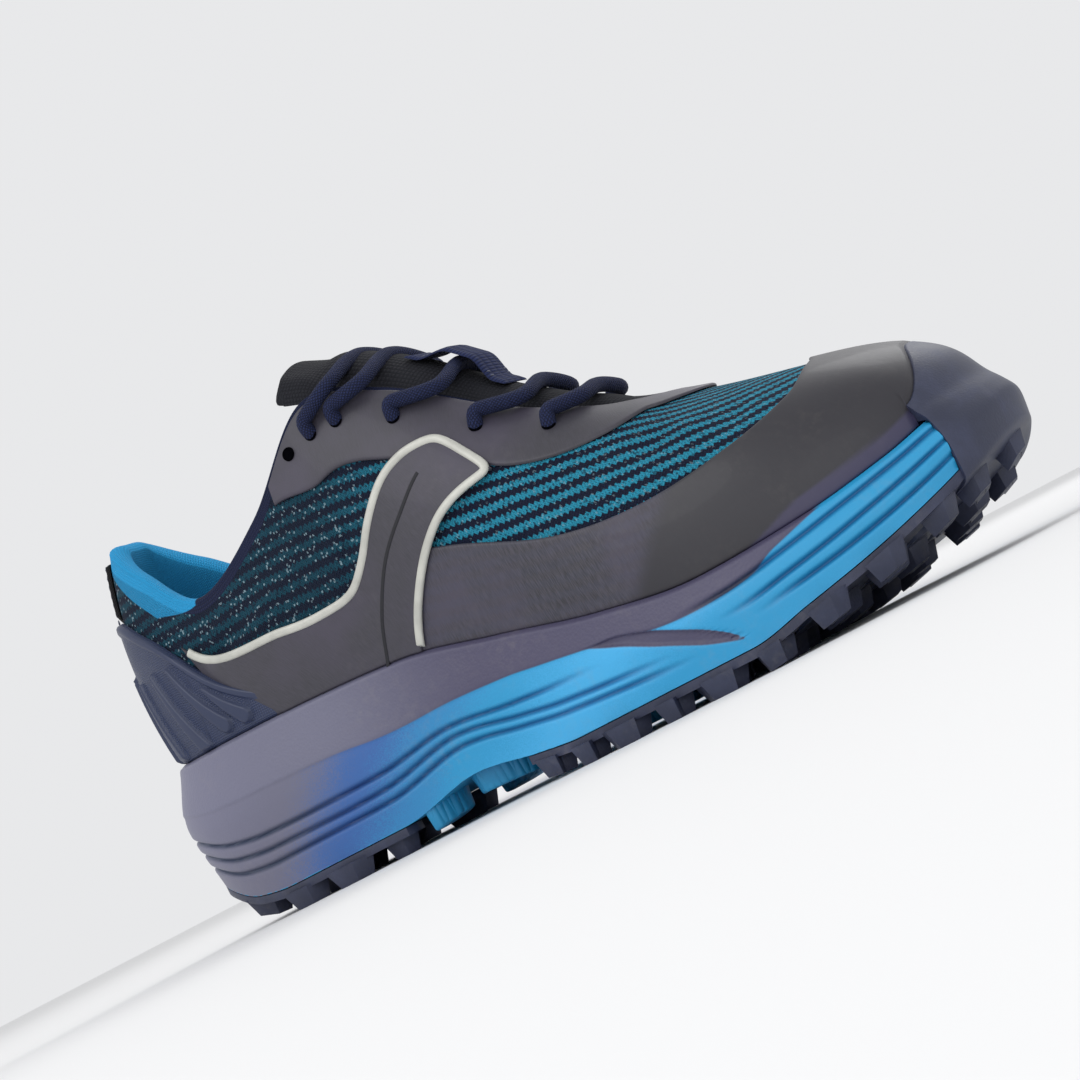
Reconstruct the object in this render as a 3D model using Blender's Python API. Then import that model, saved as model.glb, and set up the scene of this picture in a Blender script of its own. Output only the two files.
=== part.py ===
# Trail running shoe, right foot, as an assembly of separate pieces.
# Metres, +Z up, toe towards +X, lateral side towards -Y, origin under the middle of the sole.
from collections import namedtuple
from functools import lru_cache
from math import cos, hypot, pi, radians, sin

import bmesh
import bpy
import numpy as np

# Main sizes
LENGTH = 0.304            # heel to toe, outside the sole
BALL_WIDTH = 0.106        # across the sole at the ball
HEEL_HEIGHT = 0.130       # ground to the top of the heel tab
INSTEP_HEIGHT = 0.135     # ground to the top eyelet corner
TONGUE_HEIGHT = 0.150     # ground to the top of the tongue

# Sole
LUG_DEPTH = 0.005
RUBBER = 0.0025           # outsole plate
HEEL_STACK = 0.030        # foam under the heel
FORE_STACK = 0.016        # foam under the ball
HEEL_BEVEL = 0.0127       # how far the back of the tread is cut up
ARCH_LIFT = 0.0045
TOE_SPRING = 0.026
RIM_HEIGHT = 0.019        # foam wall round the heel, above the bed
RIB_DEPTH = 0.0016        # grooves in the side of the midsole
BUMPER = 0.0026           # rubber over the toe
BLOCK_DEPTH = 0.0075      # foam blocks under the waist
LUG_LENGTH = 0.0135       # at the root
LUG_WIDTH = 0.0125
LUG_DRAFT = 0.70          # tip outline as a share of the root outline

# Upper
WALL = 0.0022
COLLAR_PAD = 0.0050       # extra thickness of the padded collar
INSOLE = 0.0040
TONGUE_EDGE = 0.0035
TONGUE_PAD = 0.0085
COUNTER = 0.0018          # moulded heel counter
COUNTER_RIB = 0.0015
FILM = 0.0008             # welded overlays
TAPE = 0.0014
TAPE_WIDTH = 0.024
LACE = 0.0046
EYESTAY_WIDTH = 0.025

# Clearances
GAP = 0.0003
CURVED_GAP = 0.0005
TOE_GAP = 0.0009          # where a long film turns round the toe

# Mesh steps
SPANS = 24                # sections round the shoe
STEPS = 3                 # columns in each span
COLUMNS = SPANS * STEPS
ACROSS = 3                # strips across bed and tread

# Last sections from the heel (row 0) round one side to the toe (row 12).
# along: share of LENGTH. lateral, medial, lean: shares of BALL_WIDTH.
# rise: share of the height from bed to top line, where the side's curve is steered.
Last = namedtuple("Last", "along lateral medial lean rise")
LAST = [
    Last(0.058, 0.000, 0.000, 0.080, 0.26),
    Last(0.071, 0.132, 0.132, 0.076, 0.26),
    Last(0.105, 0.236, 0.226, 0.065, 0.27),
    Last(0.171, 0.297, 0.278, 0.050, 0.33),
    Last(0.276, 0.316, 0.292, 0.050, 0.34),
    Last(0.388, 0.321, 0.274, 0.055, 0.34),
    Last(0.503, 0.358, 0.292, 0.055, 0.36),
    Last(0.618, 0.415, 0.358, 0.045, 0.38),
    Last(0.720, 0.439, 0.425, 0.045, 0.42),
    Last(0.822, 0.396, 0.412, 0.055, 0.48),
    Last(0.898, 0.288, 0.335, 0.072, 0.58),
    Last(0.943, 0.151, 0.230, 0.092, 0.68),
    Last(0.965, -0.057, 0.057, 0.095, 0.74),
]

# Top line of the same sections: collar, throat edge and throat front.
# half: share of BALL_WIDTH. heel, instep: shares of those heights, added up.
# reach: from top line towards the foot; swell: share of BALL_WIDTH; drop: as rise.
Top = namedtuple("Top", "along half heel instep reach swell drop")
TOP_LINE = [
    Top(0.058, 0.000, 1.000, 0.000, 0.0, 0.105, 0.33),
    Top(0.068, 0.100, 0.985, 0.000, 0.0, 0.100, 0.33),
    Top(0.110, 0.185, 0.890, 0.000, 0.0, 0.085, 0.34),
    Top(0.186, 0.270, 0.752, 0.000, 0.0, 0.045, 0.34),
    Top(0.292, 0.283, 0.500, 0.330, 0.0, 0.050, 0.34),
    Top(0.392, 0.236, 0.000, 0.990, 0.0, 0.085, 0.29),
    Top(0.477, 0.192, 0.000, 0.926, 0.0, 0.125, 0.20),
    Top(0.579, 0.151, 0.000, 0.755, 0.0, 0.190, 0.15),
    Top(0.651, 0.123, 0.000, 0.662, 0.4, 0.070, 0.14),
    Top(0.688, 0.090, 0.000, 0.630, 0.4, 0.125, 0.23),
    Top(0.702, 0.057, 0.000, 0.620, 0.4, 0.135, 0.29),
    Top(0.709, 0.028, 0.000, 0.615, 0.45, 0.110, 0.33),
    Top(0.711, 0.000, 0.000, 0.613, 0.55, 0.030, 0.34),
]

# Side of the sole at the same sections. tread and bulge: shares of BALL_WIDTH outside the last.
# edge: foam outside the upper at the rim, as a share of BALL_WIDTH. rim: share of RIM_HEIGHT
# above the bed. ribs: share of RIB_DEPTH.
Side = namedtuple("Side", "tread bulge edge rim ribs")
SIDE = [
    Side(0.130, 0.166, 0.040, 1.00, 1.0),
    Side(0.118, 0.145, 0.038, 1.00, 1.0),
    Side(0.094, 0.115, 0.035, 0.95, 1.0),
    Side(0.075, 0.094, 0.031, 0.92, 1.0),
    Side(0.066, 0.085, 0.030, 0.90, 0.8),
    Side(0.057, 0.071, 0.027, 0.92, 0.4),
    Side(0.066, 0.073, 0.027, 0.76, 0.3),
    Side(0.061, 0.066, 0.030, 0.50, 0.6),
    Side(0.061, 0.066, 0.031, 0.36, 0.8),
    Side(0.066, 0.068, 0.031, 0.38, 0.8),
    Side(0.073, 0.078, 0.036, 0.44, 0.6),
    Side(0.076, 0.092, 0.048, 0.56, 0.3),
    Side(0.078, 0.098, 0.053, 0.58, 0.0),
]

# Profile along the ground. bevel, arch, spring: shares of those sizes, added up.
# heel: share of HEEL_STACK against FORE_STACK. bed_spring: share of TOE_SPRING.
Profile = namedtuple("Profile", "along bevel arch spring heel bed_spring")
PROFILE = [
    Profile(0.000, 1.00, 0.0, 0.00, 1.00, 0.00),
    Profile(0.050, 0.66, 0.0, 0.00, 1.00, 0.00),
    Profile(0.110, 0.12, 0.0, 0.00, 1.00, 0.00),
    Profile(0.160, 0.00, 0.0, 0.00, 1.00, 0.00),
    Profile(0.310, 0.00, 0.0, 0.00, 0.90, 0.00),
    Profile(0.410, 0.00, 1.0, 0.00, 0.66, 0.00),
    Profile(0.490, 0.00, 0.3, 0.00, 0.42, 0.00),
    Profile(0.540, 0.00, 0.0, 0.00, 0.28, 0.00),
    Profile(0.740, 0.00, 0.0, 0.00, 0.00, 0.00),
    Profile(0.800, 0.00, 0.0, 0.13, 0.00, 0.02),
    Profile(0.860, 0.00, 0.0, 0.28, 0.00, 0.08),
    Profile(0.905, 0.00, 0.0, 0.43, 0.00, 0.15),
    Profile(0.955, 0.00, 0.0, 0.66, 0.00, 0.25),
    Profile(1.000, 0.00, 0.0, 1.00, 0.00, 0.38),
]

# Rows up the side of the midsole: share of its height, and groove (1) or crest (0).
SideRow = namedtuple("SideRow", "level groove")
SIDE_ROWS = [
    SideRow(0.00, 0), SideRow(0.10, 0), SideRow(0.22, 0), SideRow(0.30, 1),
    SideRow(0.38, 0), SideRow(0.46, 1), SideRow(0.54, 0), SideRow(0.62, 1),
    SideRow(0.70, 0), SideRow(0.79, 1), SideRow(0.85, 0), SideRow(0.95, 0), SideRow(1.00, 0),
]

OUTER_ROWS = (0.0, 0.08, 0.17, 0.28, 0.40, 0.52, 0.64, 0.76, 0.87, 0.95, 1.0)
INNER_ROWS = (0.97, 0.87, 0.72, 0.54, 0.34, 0.14)

# Plan outlines of rubber and foam, as shares of LENGTH and BALL_WIDTH
Spot = namedtuple("Spot", "along across")
HEEL_EDGE = [
    Spot(0.306, -0.66), Spot(0.306, -0.43), Spot(0.319, -0.31), Spot(0.289, -0.23),
    Spot(0.263, -0.31), Spot(0.230, -0.23), Spot(0.201, -0.17), Spot(0.194, -0.06),
    Spot(0.217, 0.02), Spot(0.257, 0.10), Spot(0.280, 0.03), Spot(0.302, 0.01),
    Spot(0.319, 0.11), Spot(0.319, 0.66), Spot(-0.06, 0.66), Spot(-0.06, -0.66),
]
FORE_EDGE = [
    Spot(1.06, -0.66), Spot(0.470, -0.66), Spot(0.470, -0.43), Spot(0.493, -0.335),
    Spot(0.526, -0.37), Spot(0.625, -0.42), Spot(0.632, -0.32), Spot(0.645, -0.21),
    Spot(0.657, -0.085), Spot(0.680, -0.075), Spot(0.687, 0.08), Spot(0.694, 0.16),
    Spot(0.684, 0.235), Spot(0.625, 0.18), Spot(0.595, 0.18), Spot(0.582, 0.28),
    Spot(0.579, 0.66), Spot(1.06, 0.66),
]
CHANNELS = [
    [Spot(0.612, -0.42), Spot(0.630, -0.325), Spot(0.668, -0.32), Spot(0.687, -0.285),
     Spot(0.704, -0.34), Spot(0.743, -0.37), Spot(0.753, -0.33), Spot(0.766, -0.37),
     Spot(0.820, -0.39), Spot(0.808, -0.415), Spot(0.797, -0.475), Spot(0.788, -0.475),
     Spot(0.775, -0.43), Spot(0.750, -0.405), Spot(0.722, -0.42), Spot(0.678, -0.40)],
    [Spot(0.677, -0.085), Spot(0.699, -0.19), Spot(0.724, -0.19), Spot(0.734, -0.145),
     Spot(0.758, -0.22), Spot(0.792, -0.20), Spot(0.798, -0.16), Spot(0.815, -0.16),
     Spot(0.824, -0.19), Spot(0.865, -0.21), Spot(0.906, -0.255), Spot(0.923, -0.20),
     Spot(0.898, -0.045), Spot(0.864, -0.15), Spot(0.810, -0.08), Spot(0.793, -0.12),
     Spot(0.750, -0.075), Spot(0.730, -0.12), Spot(0.707, -0.075), Spot(0.684, 0.04)],
    [Spot(0.714, 0.135), Spot(0.740, 0.02), Spot(0.760, 0.07), Spot(0.766, 0.115),
     Spot(0.786, 0.11), Spot(0.803, 0.035), Spot(0.829, 0.075), Spot(0.834, 0.115),
     Spot(0.855, 0.11), Spot(0.866, 0.05), Spot(0.885, 0.03), Spot(0.866, 0.18),
     Spot(0.822, 0.13), Spot(0.800, 0.135), Spot(0.783, 0.19), Spot(0.743, 0.13)],
]
FOAM_BLOCKS = [
    [Spot(0.330, 0.04), Spot(0.352, 0.06), Spot(0.362, 0.20), Spot(0.357, 0.34), Spot(0.330, 0.34)],
    [Spot(0.384, -0.01), Spot(0.405, 0.00), Spot(0.446, 0.19), Spot(0.440, 0.37), Spot(0.397, 0.37)],
    [Spot(0.462, -0.11), Spot(0.500, -0.13), Spot(0.563, 0.16), Spot(0.557, 0.36), Spot(0.500, 0.36),
     Spot(0.490, 0.17)],
    [Spot(0.533, -0.20), Spot(0.594, -0.22), Spot(0.648, 0.07), Spot(0.620, 0.14), Spot(0.588, 0.13)],
    [Spot(0.332, -0.38), Spot(0.350, -0.37), Spot(0.369, -0.22), Spot(0.345, -0.20), Spot(0.332, -0.26)],
    [Spot(0.387, -0.36), Spot(0.440, -0.33), Spot(0.462, -0.22), Spot(0.410, -0.18), Spot(0.389, -0.19)],
]

# Lugs: place, size as a share of LUG_LENGTH and LUG_WIDTH, and turn in degrees
Lug = namedtuple("Lug", "along across long wide turn")
FORE_LUGS = [
    Lug(0.492, -0.385, 1.0, 0.8, 160), Lug(0.537, -0.415, 0.9, 0.8, 160),
    Lug(0.587, -0.460, 1.2, 0.8, 170), Lug(0.585, 0.370, 0.8, 0.9, 10),
    Lug(0.640, -0.460, 0.9, 0.8, 160), Lug(0.693, -0.465, 1.3, 0.8, 170),
    Lug(0.632, 0.285, 1.1, 1.0, 10), Lug(0.662, -0.175, 1.0, 1.1, 200),
    Lug(0.656, 0.410, 0.9, 0.8, 5), Lug(0.705, 0.285, 1.0, 1.1, 10),
    Lug(0.707, 0.045, 1.0, 1.1, 0), Lug(0.735, -0.255, 1.1, 1.1, 0),
    Lug(0.719, 0.420, 1.0, 0.9, 5), Lug(0.752, -0.465, 0.9, 0.8, 170),
    Lug(0.770, 0.290, 1.1, 1.1, 0), Lug(0.778, -0.005, 1.0, 1.1, 0),
    Lug(0.802, -0.270, 1.1, 1.1, 0), Lug(0.818, -0.450, 0.9, 0.8, 0),
    Lug(0.826, 0.240, 0.9, 1.0, 0), Lug(0.790, 0.430, 1.1, 0.8, -5),
    Lug(0.850, -0.025, 1.0, 1.1, 0), Lug(0.862, -0.290, 1.0, 1.0, 0),
    Lug(0.876, -0.400, 0.9, 0.8, 10), Lug(0.882, 0.250, 1.0, 1.0, -10),
    Lug(0.862, 0.390, 0.9, 0.8, -15), Lug(0.946, -0.130, 0.8, 1.0, 0),
    Lug(0.913, 0.075, 1.0, 1.1, 0), Lug(0.920, -0.265, 0.9, 0.9, 15),
    Lug(0.934, 0.220, 0.9, 0.9, -15), Lug(0.972, 0.050, 0.7, 1.0, 0),
]
HEEL_LUGS = [
    Lug(0.052, -0.120, 0.8, 1.0, 0), Lug(0.052, 0.110, 0.8, 1.0, 0),
    Lug(0.098, -0.250, 1.0, 1.0, 15), Lug(0.110, -0.075, 1.0, 1.1, 0),
    Lug(0.110, 0.095, 1.0, 1.1, 0), Lug(0.100, 0.255, 1.0, 1.0, -15),
    Lug(0.168, -0.330, 1.1, 1.0, 0), Lug(0.172, -0.165, 1.1, 1.1, 0),
    Lug(0.165, 0.020, 1.1, 1.1, 0), Lug(0.180, 0.195, 1.1, 1.1, 0),
    Lug(0.170, 0.335, 1.0, 0.9, 0), Lug(0.235, -0.365, 1.2, 0.9, 0),
    Lug(0.288, -0.305, 0.8, 0.8, 0), Lug(0.265, 0.180, 1.2, 1.1, 0),
    Lug(0.252, 0.325, 1.1, 0.9, 0),
]

# Eyelets: how far along the sections each pair sits, from the top down
EYELETS = (5.05, 5.40, 6.05, 6.75, 7.45)
EYELET_INSET = 0.0075
LACE_LEAN = 0.4           # how far forward a bar crosses, in sections
LACE_RISE = 0.0005        # how much more a bar arches than the tongue

HALF = SPANS // 2
CENTRE = LENGTH / 2
GROUND_TO_FOAM = LUG_DEPTH + RUBBER + GAP


def smooth(share):
    """Ease from 0 to 1."""
    share = min(max(share, 0.0), 1.0)
    return share * share * (3 - 2 * share)


def mix(a, b, share):
    return a + (b - a) * share


def steady(xs, ys, x):
    """Interpolate without overshoot, so that a level stretch stays level."""
    x = min(max(x, xs[0]), xs[-1])
    steps = np.diff(xs)
    slopes = np.diff(ys) / steps
    tangents = np.concatenate(([slopes[0]], np.zeros(len(xs) - 2), [slopes[-1]]))
    for i in range(1, len(xs) - 1):
        before, after = slopes[i - 1], slopes[i]
        if before * after > 0:
            tangents[i] = 2 * before * after / (before + after)
    i = min(int(np.searchsorted(xs, x, side="right")) - 1, len(xs) - 2)
    t = (x - xs[i]) / steps[i]
    return (ys[i] * (1 + 2 * t) * (1 - t) ** 2 + tangents[i] * steps[i] * t * (1 - t) ** 2
            + ys[i + 1] * t * t * (3 - 2 * t) + tangents[i + 1] * steps[i] * t * t * (t - 1))


def open_curve(points, t):
    """Catmull-Rom curve between the middle two of four points."""
    a, b, c, d = points
    return 0.5 * (2 * b + (c - a) * t + (2 * a - 5 * b + 4 * c - d) * t * t
                  + (3 * b - a - 3 * c + d) * t ** 3)


def round_loop(loop, u):
    """The same curve through a closed loop of points, at u sections from the heel."""
    k = int(np.floor(u))
    return open_curve([loop[(k + j) % len(loop)] for j in (-1, 0, 1, 2)], u - k)


def by_section(table, column, u):
    """Value of one column of a heel-to-toe table, at u sections round the shoe."""
    values = [getattr(row, column) for row in table]
    u = u % SPANS
    k = u if u <= HALF else SPANS - u
    return steady(np.arange(HALF + 1.0), np.array(values), k)


def along_profile(column, x):
    shares = np.array([row.along for row in PROFILE])
    values = np.array([getattr(row, column) for row in PROFILE])
    return steady(shares, values, (x + CENTRE) / LENGTH)


def tread_height(x):
    """Underside of the foam, which the rubber follows."""
    lift = along_profile("bevel", x) * HEEL_BEVEL + along_profile("arch", x) * ARCH_LIFT
    return GROUND_TO_FOAM + lift + along_profile("spring", x) * TOE_SPRING


def bed_height(x):
    """Top of the foam under the foot."""
    stack = mix(FORE_STACK, HEEL_STACK, along_profile("heel", x))
    return GROUND_TO_FOAM + stack + along_profile("bed_spring", x) * TOE_SPRING


def section_sides():
    """Row number and side (-1 lateral, 1 medial) of each section round the shoe."""
    lateral = [(k, -1) for k in range(HALF + 1)]
    medial = [(k, 1) for k in range(HALF - 1, 0, -1)]
    return lateral + medial


def foot_loop():
    points = []
    for k, side in section_sides():
        row = LAST[k]
        width = row.medial if side > 0 else row.lateral
        x = row.along * LENGTH - CENTRE
        points.append(np.array([x, side * width * BALL_WIDTH, bed_height(x) + GAP]))
    return points


def top_loop():
    points = []
    for k, side in section_sides():
        row = TOP_LINE[k]
        z = row.heel * HEEL_HEIGHT + row.instep * INSTEP_HEIGHT
        points.append(np.array([row.along * LENGTH - CENTRE, side * row.half * BALL_WIDTH, z]))
    return points


FOOT = foot_loop()
TOP = top_loop()


def plan_normal(u):
    """Outward direction, in plan, of the last's outline."""
    step = 0.02
    tangent = round_loop(FOOT, u + step) - round_loop(FOOT, u - step)
    return np.array([tangent[1], -tangent[0], 0.0]) / hypot(tangent[0], tangent[1])


def steering_loops():
    """The two loops of points that steer each side curve between foot and top line."""
    lower, upper = [], []
    for i, (k, _) in enumerate(section_sides()):
        height = TOP[i][2] - FOOT[i][2]
        normal = plan_normal(i)
        up = np.array([0.0, 0.0, height])
        lower.append(FOOT[i] + normal * LAST[k].lean * BALL_WIDTH + up * LAST[k].rise)
        level = mix(TOP[i], FOOT[i], TOP_LINE[k].reach)
        level[2] = TOP[i][2]
        upper.append(level + normal * TOP_LINE[k].swell * BALL_WIDTH - up * TOP_LINE[k].drop)
    return lower, upper


LOWER, UPPER = steering_loops()


def shell(u, v):
    """Outside of the upper: u sections from the heel, v from bed (0) to top line (1)."""
    a, b, c, d = (round_loop(loop, u) for loop in (FOOT, LOWER, UPPER, TOP))
    return a * (1 - v) ** 3 + b * 3 * v * (1 - v) ** 2 + c * 3 * v * v * (1 - v) + d * v ** 3


def shell_normal(u, v):
    step = 0.02
    low, high = max(v - step, 0.0), min(v + step, 1.0)
    normal = np.cross(shell(u + step, v) - shell(u - step, v), shell(u, high) - shell(u, low))
    return normal / np.linalg.norm(normal)


def upper_point(u, v, out=0.0):
    """A point on the upper's outside, moved out (or in, where negative) along its normal."""
    return shell(u, v) + shell_normal(u, v) * out


def level_share(u, z):
    """The v at which the upper's outside passes height z, from below."""
    low, high = 0.0, 0.85
    for _ in range(24):
        middle = (low + high) / 2
        if shell(u, middle)[2] < z:
            low = middle
        else:
            high = middle
    return (low + high) / 2


def rim_height(u):
    foot = round_loop(FOOT, u)
    return foot[2] - GAP + by_section(SIDE, "rim", u) * RIM_HEIGHT


BUMPER_SPAN = 4 / STEPS   # sections each side of the toe
BUMPER_TOP = 0.40         # its upper edge, on the way from bed (0) to top line (1)


def bumper_reach(u):
    """1 at the middle of the toe, 0 at the ends of the bumper, negative behind it."""
    return 1.0 - abs(u - HALF) / BUMPER_SPAN


def bumper_share(u):
    """1 across the toe, where rubber covers foam and upper, 0 behind it."""
    reach = bumper_reach(u)
    return smooth(0.35 + 3.0 * reach) if reach >= -1e-6 else 0.0


def bumper_high(u):
    """The v of the bumper's upper edge."""
    side = level_share(u, rim_height(u)) + 0.08
    return mix(side, BUMPER_TOP, smooth(1.1 * bumper_reach(u)))


def outline(u, flare):
    """Plan point outside the last by a flare."""
    foot = round_loop(FOOT, u)
    return foot + plan_normal(u) * flare


@lru_cache(maxsize=None)
def rim_flare(u):
    """How far the rim's outer edge stands outside the last, in plan."""
    lean = shell(u, level_share(u, rim_height(u))) - round_loop(FOOT, u)
    return float(np.dot(lean, plan_normal(u))) + by_section(SIDE, "edge", u) * BALL_WIDTH


def side_point(u, level, groove=0.0, inset=0.0):
    """Side of the sole, from the tread edge (level 0) to the top of the rim (1)."""
    tread, bulge = (by_section(SIDE, column, u) * BALL_WIDTH for column in ("tread", "bulge"))
    flare = steady(np.array([0.0, 0.50, 1.0]), np.array([tread, bulge, rim_flare(u)]), level)
    flare -= groove * by_section(SIDE, "ribs", u) * RIB_DEPTH + inset
    point = outline(u, flare)
    point[2] = mix(tread_height(point[0]), rim_height(u), level)
    return point


def foam_inset(u):
    share = bumper_share(u)
    return share * BUMPER + (CURVED_GAP if share > 0 else 0.0)


def columns(first=0.0, last=None, steps=STEPS):
    """Evenly spaced sections. Without a last one, all the way round."""
    if last is None:
        return [i / steps for i in range(SPANS * steps)]
    count = round((last - first) * steps)
    return [first + (last - first) * i / count for i in range(count + 1)]


def material(name, colour, roughness):
    made = bpy.data.materials.new(name)
    made.use_nodes = True
    shader = made.node_tree.nodes["Principled BSDF"]
    shader.inputs["Base Color"].default_value = (*colour, 1.0)
    shader.inputs["Roughness"].default_value = roughness
    return made


def collection(name):
    made = bpy.data.collections.new(name)
    bpy.context.scene.collection.children.link(made)
    return made


def add_object(name, mesh, finish, group):
    made = bpy.data.objects.new(name, mesh)
    group.objects.link(made)
    if finish:
        mesh.materials.append(finish)
    return made


def finish_mesh(name, bm, smooth_angle=40):
    """Point the faces out and turn a bmesh into a mesh."""
    bmesh.ops.recalc_face_normals(bm, faces=bm.faces)
    mesh = bpy.data.meshes.new(name)
    bm.to_mesh(mesh)
    bm.free()
    mesh.shade_smooth()
    mesh.set_sharp_from_angle(angle=radians(smooth_angle))
    return mesh


def bridge(bm, first, second, closed=True):
    """Quads between two rows of vertices of the same length."""
    count = len(first)
    for i in range(count if closed else count - 1):
        j = (i + 1) % count
        bm.faces.new((first[i], first[j], second[j], second[i]))


def tube_mesh(name, rings):
    """A closed wall: each ring joins the next, and the last joins the first."""
    bm = bmesh.new()
    rows = [[bm.verts.new(point) for point in ring] for ring in rings]
    for i, row in enumerate(rows):
        bridge(bm, row, rows[(i + 1) % len(rows)])
    return finish_mesh(name, bm)


def close_across(bm, ring, height):
    """Close a heel-to-toe ring with strips from side to side, at a height along the shoe."""
    half = len(ring) // 2
    rows = []
    for i in range(1, half):
        left, right = ring[i], ring[-i]
        row = [left]
        for j in range(1, ACROSS):
            place = left.co.lerp(right.co, j / ACROSS)
            place.z = height(place.x)
            row.append(bm.verts.new(place))
        rows.append(row + [right])
    for first, second in zip(rows, rows[1:]):
        bridge(bm, first, second, closed=False)
    for tip, row in ((ring[0], rows[0]), (ring[half], rows[-1])):
        for left, right in zip(row, row[1:]):
            bm.faces.new((tip, left, right))


def capped_mesh(name, rings, low_height, high_height):
    """A closed body of stacked rings, with a surface across its first and last ring."""
    bm = bmesh.new()
    rows = [[bm.verts.new(point) for point in ring] for ring in rings]
    for first, second in zip(rows, rows[1:]):
        bridge(bm, first, second)
    close_across(bm, rows[0], low_height)
    close_across(bm, rows[-1], high_height)
    return finish_mesh(name, bm)


def patch_mesh(name, outside, inside):
    """A closed thin body between two grids of the same size."""
    bm = bmesh.new()
    outer = [[bm.verts.new(point) for point in row] for row in outside]
    inner = [[bm.verts.new(point) for point in row] for row in inside]
    for grid in (outer, inner):
        for first, second in zip(grid, grid[1:]):
            bridge(bm, first, second, closed=False)
    bridge(bm, outer[0], inner[0], closed=False)
    bridge(bm, outer[-1], inner[-1], closed=False)
    for side in (0, -1):
        bridge(bm, [row[side] for row in outer], [row[side] for row in inner], closed=False)
    return finish_mesh(name, bm)


def prism(name, spots, low, high, group):
    """A cutter: a flat outline drawn as a curve and given height."""
    curve = bpy.data.curves.new(name, "CURVE")
    curve.dimensions = "2D"
    curve.fill_mode = "BOTH"
    curve.extrude = (high - low) / 2
    for outline_spots in spots:
        spline = curve.splines.new("POLY")
        spline.points.add(len(outline_spots) - 1)
        for point, spot in zip(spline.points, outline_spots):
            point.co = (spot.along * LENGTH - CENTRE, spot.across * BALL_WIDTH, 0, 1)
        spline.use_cyclic_u = True
    drawn = bpy.data.objects.new(name + "_drawn", curve)
    drawn.location.z = (high + low) / 2
    group.objects.link(drawn)
    return mesh_from_curve(name, drawn, group)


def mesh_from_curve(name, drawn, group):
    """Turn a curve object into a welded mesh object in the same place."""
    bpy.context.view_layer.update()
    evaluated = drawn.evaluated_get(bpy.context.evaluated_depsgraph_get())
    mesh = bpy.data.meshes.new_from_object(evaluated)
    bm = bmesh.new()
    bm.from_mesh(mesh)
    bmesh.ops.remove_doubles(bm, verts=bm.verts, dist=0.00001)
    bmesh.ops.recalc_face_normals(bm, faces=bm.faces)
    bm.to_mesh(mesh)
    bm.free()
    made = bpy.data.objects.new(name, mesh)
    made.matrix_world = drawn.matrix_world.copy()
    bpy.data.objects.remove(drawn)
    group.objects.link(made)
    return made


def as_cutter(made):
    made.hide_render = True
    made.display_type = "WIRE"
    return made


def boolean(target, operation, other):
    modifier = target.modifiers.new(other.name, "BOOLEAN")
    modifier.operation = operation
    modifier.object = other
    modifier.solver = "EXACT"


def block(bm, spots, root_height, tip_height, draft):
    """A block with sloping sides, from a plan outline, hanging from a root to a tip."""
    middle = np.mean(spots, axis=0)
    root = [bm.verts.new((x, y, root_height(x))) for x, y in spots]
    tip = []
    for x, y in middle + (np.array(spots) - middle) * draft:
        tip.append(bm.verts.new((x, y, tip_height(x))))
    bridge(bm, root, tip)
    bm.faces.new(root)
    bm.faces.new(tip)


def lug_spots(lug):
    """Arrow outline of a lug, turned about its middle."""
    long, wide = lug.long * LUG_LENGTH / 2, lug.wide * LUG_WIDTH / 2
    arrow = ((1.0, 0.0), (0.35, 0.95), (-0.95, 0.85), (-0.55, 0.0), (-0.95, -0.85), (0.35, -0.95))
    turn = radians(lug.turn)
    spots = []
    for x, y in arrow:
        x, y = x * long, y * wide
        spots.append((lug.along * LENGTH - CENTRE + x * cos(turn) - y * sin(turn),
                      lug.across * BALL_WIDTH + x * sin(turn) + y * cos(turn)))
    return spots


def rubber_top(x):
    return tread_height(x) - GAP


def rubber_bottom(x):
    return tread_height(x) - GAP - RUBBER


def lugs_object(name, lugs, group):
    bm = bmesh.new()
    for lug in lugs:
        block(bm, lug_spots(lug), lambda x: rubber_bottom(x) + RUBBER / 3,
              lambda x: rubber_bottom(x) - LUG_DEPTH, LUG_DRAFT)
    return as_cutter(add_object(name, finish_mesh(name, bm), None, group))


def tread_ring(height):
    ring = []
    for u in columns():
        point = side_point(u, 0.0)
        point[2] = height(point[0])
        ring.append(point)
    return ring


def outsole_piece(name, edge, lugs, finish, group, cutters):
    """Rubber plate following the foam, cut to its plan outline, with its lugs."""
    rings = [tread_ring(rubber_bottom), tread_ring(rubber_top)]
    plate = add_object(name, capped_mesh(name, rings, rubber_bottom, rubber_top), finish, group)
    high = HEEL_STACK + TOE_SPRING
    boolean(plate, "INTERSECT", as_cutter(prism(name + "_edge", [edge], -LUG_DEPTH, high, cutters)))
    return plate, lugs_object(name + "_lugs", lugs, cutters)


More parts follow.
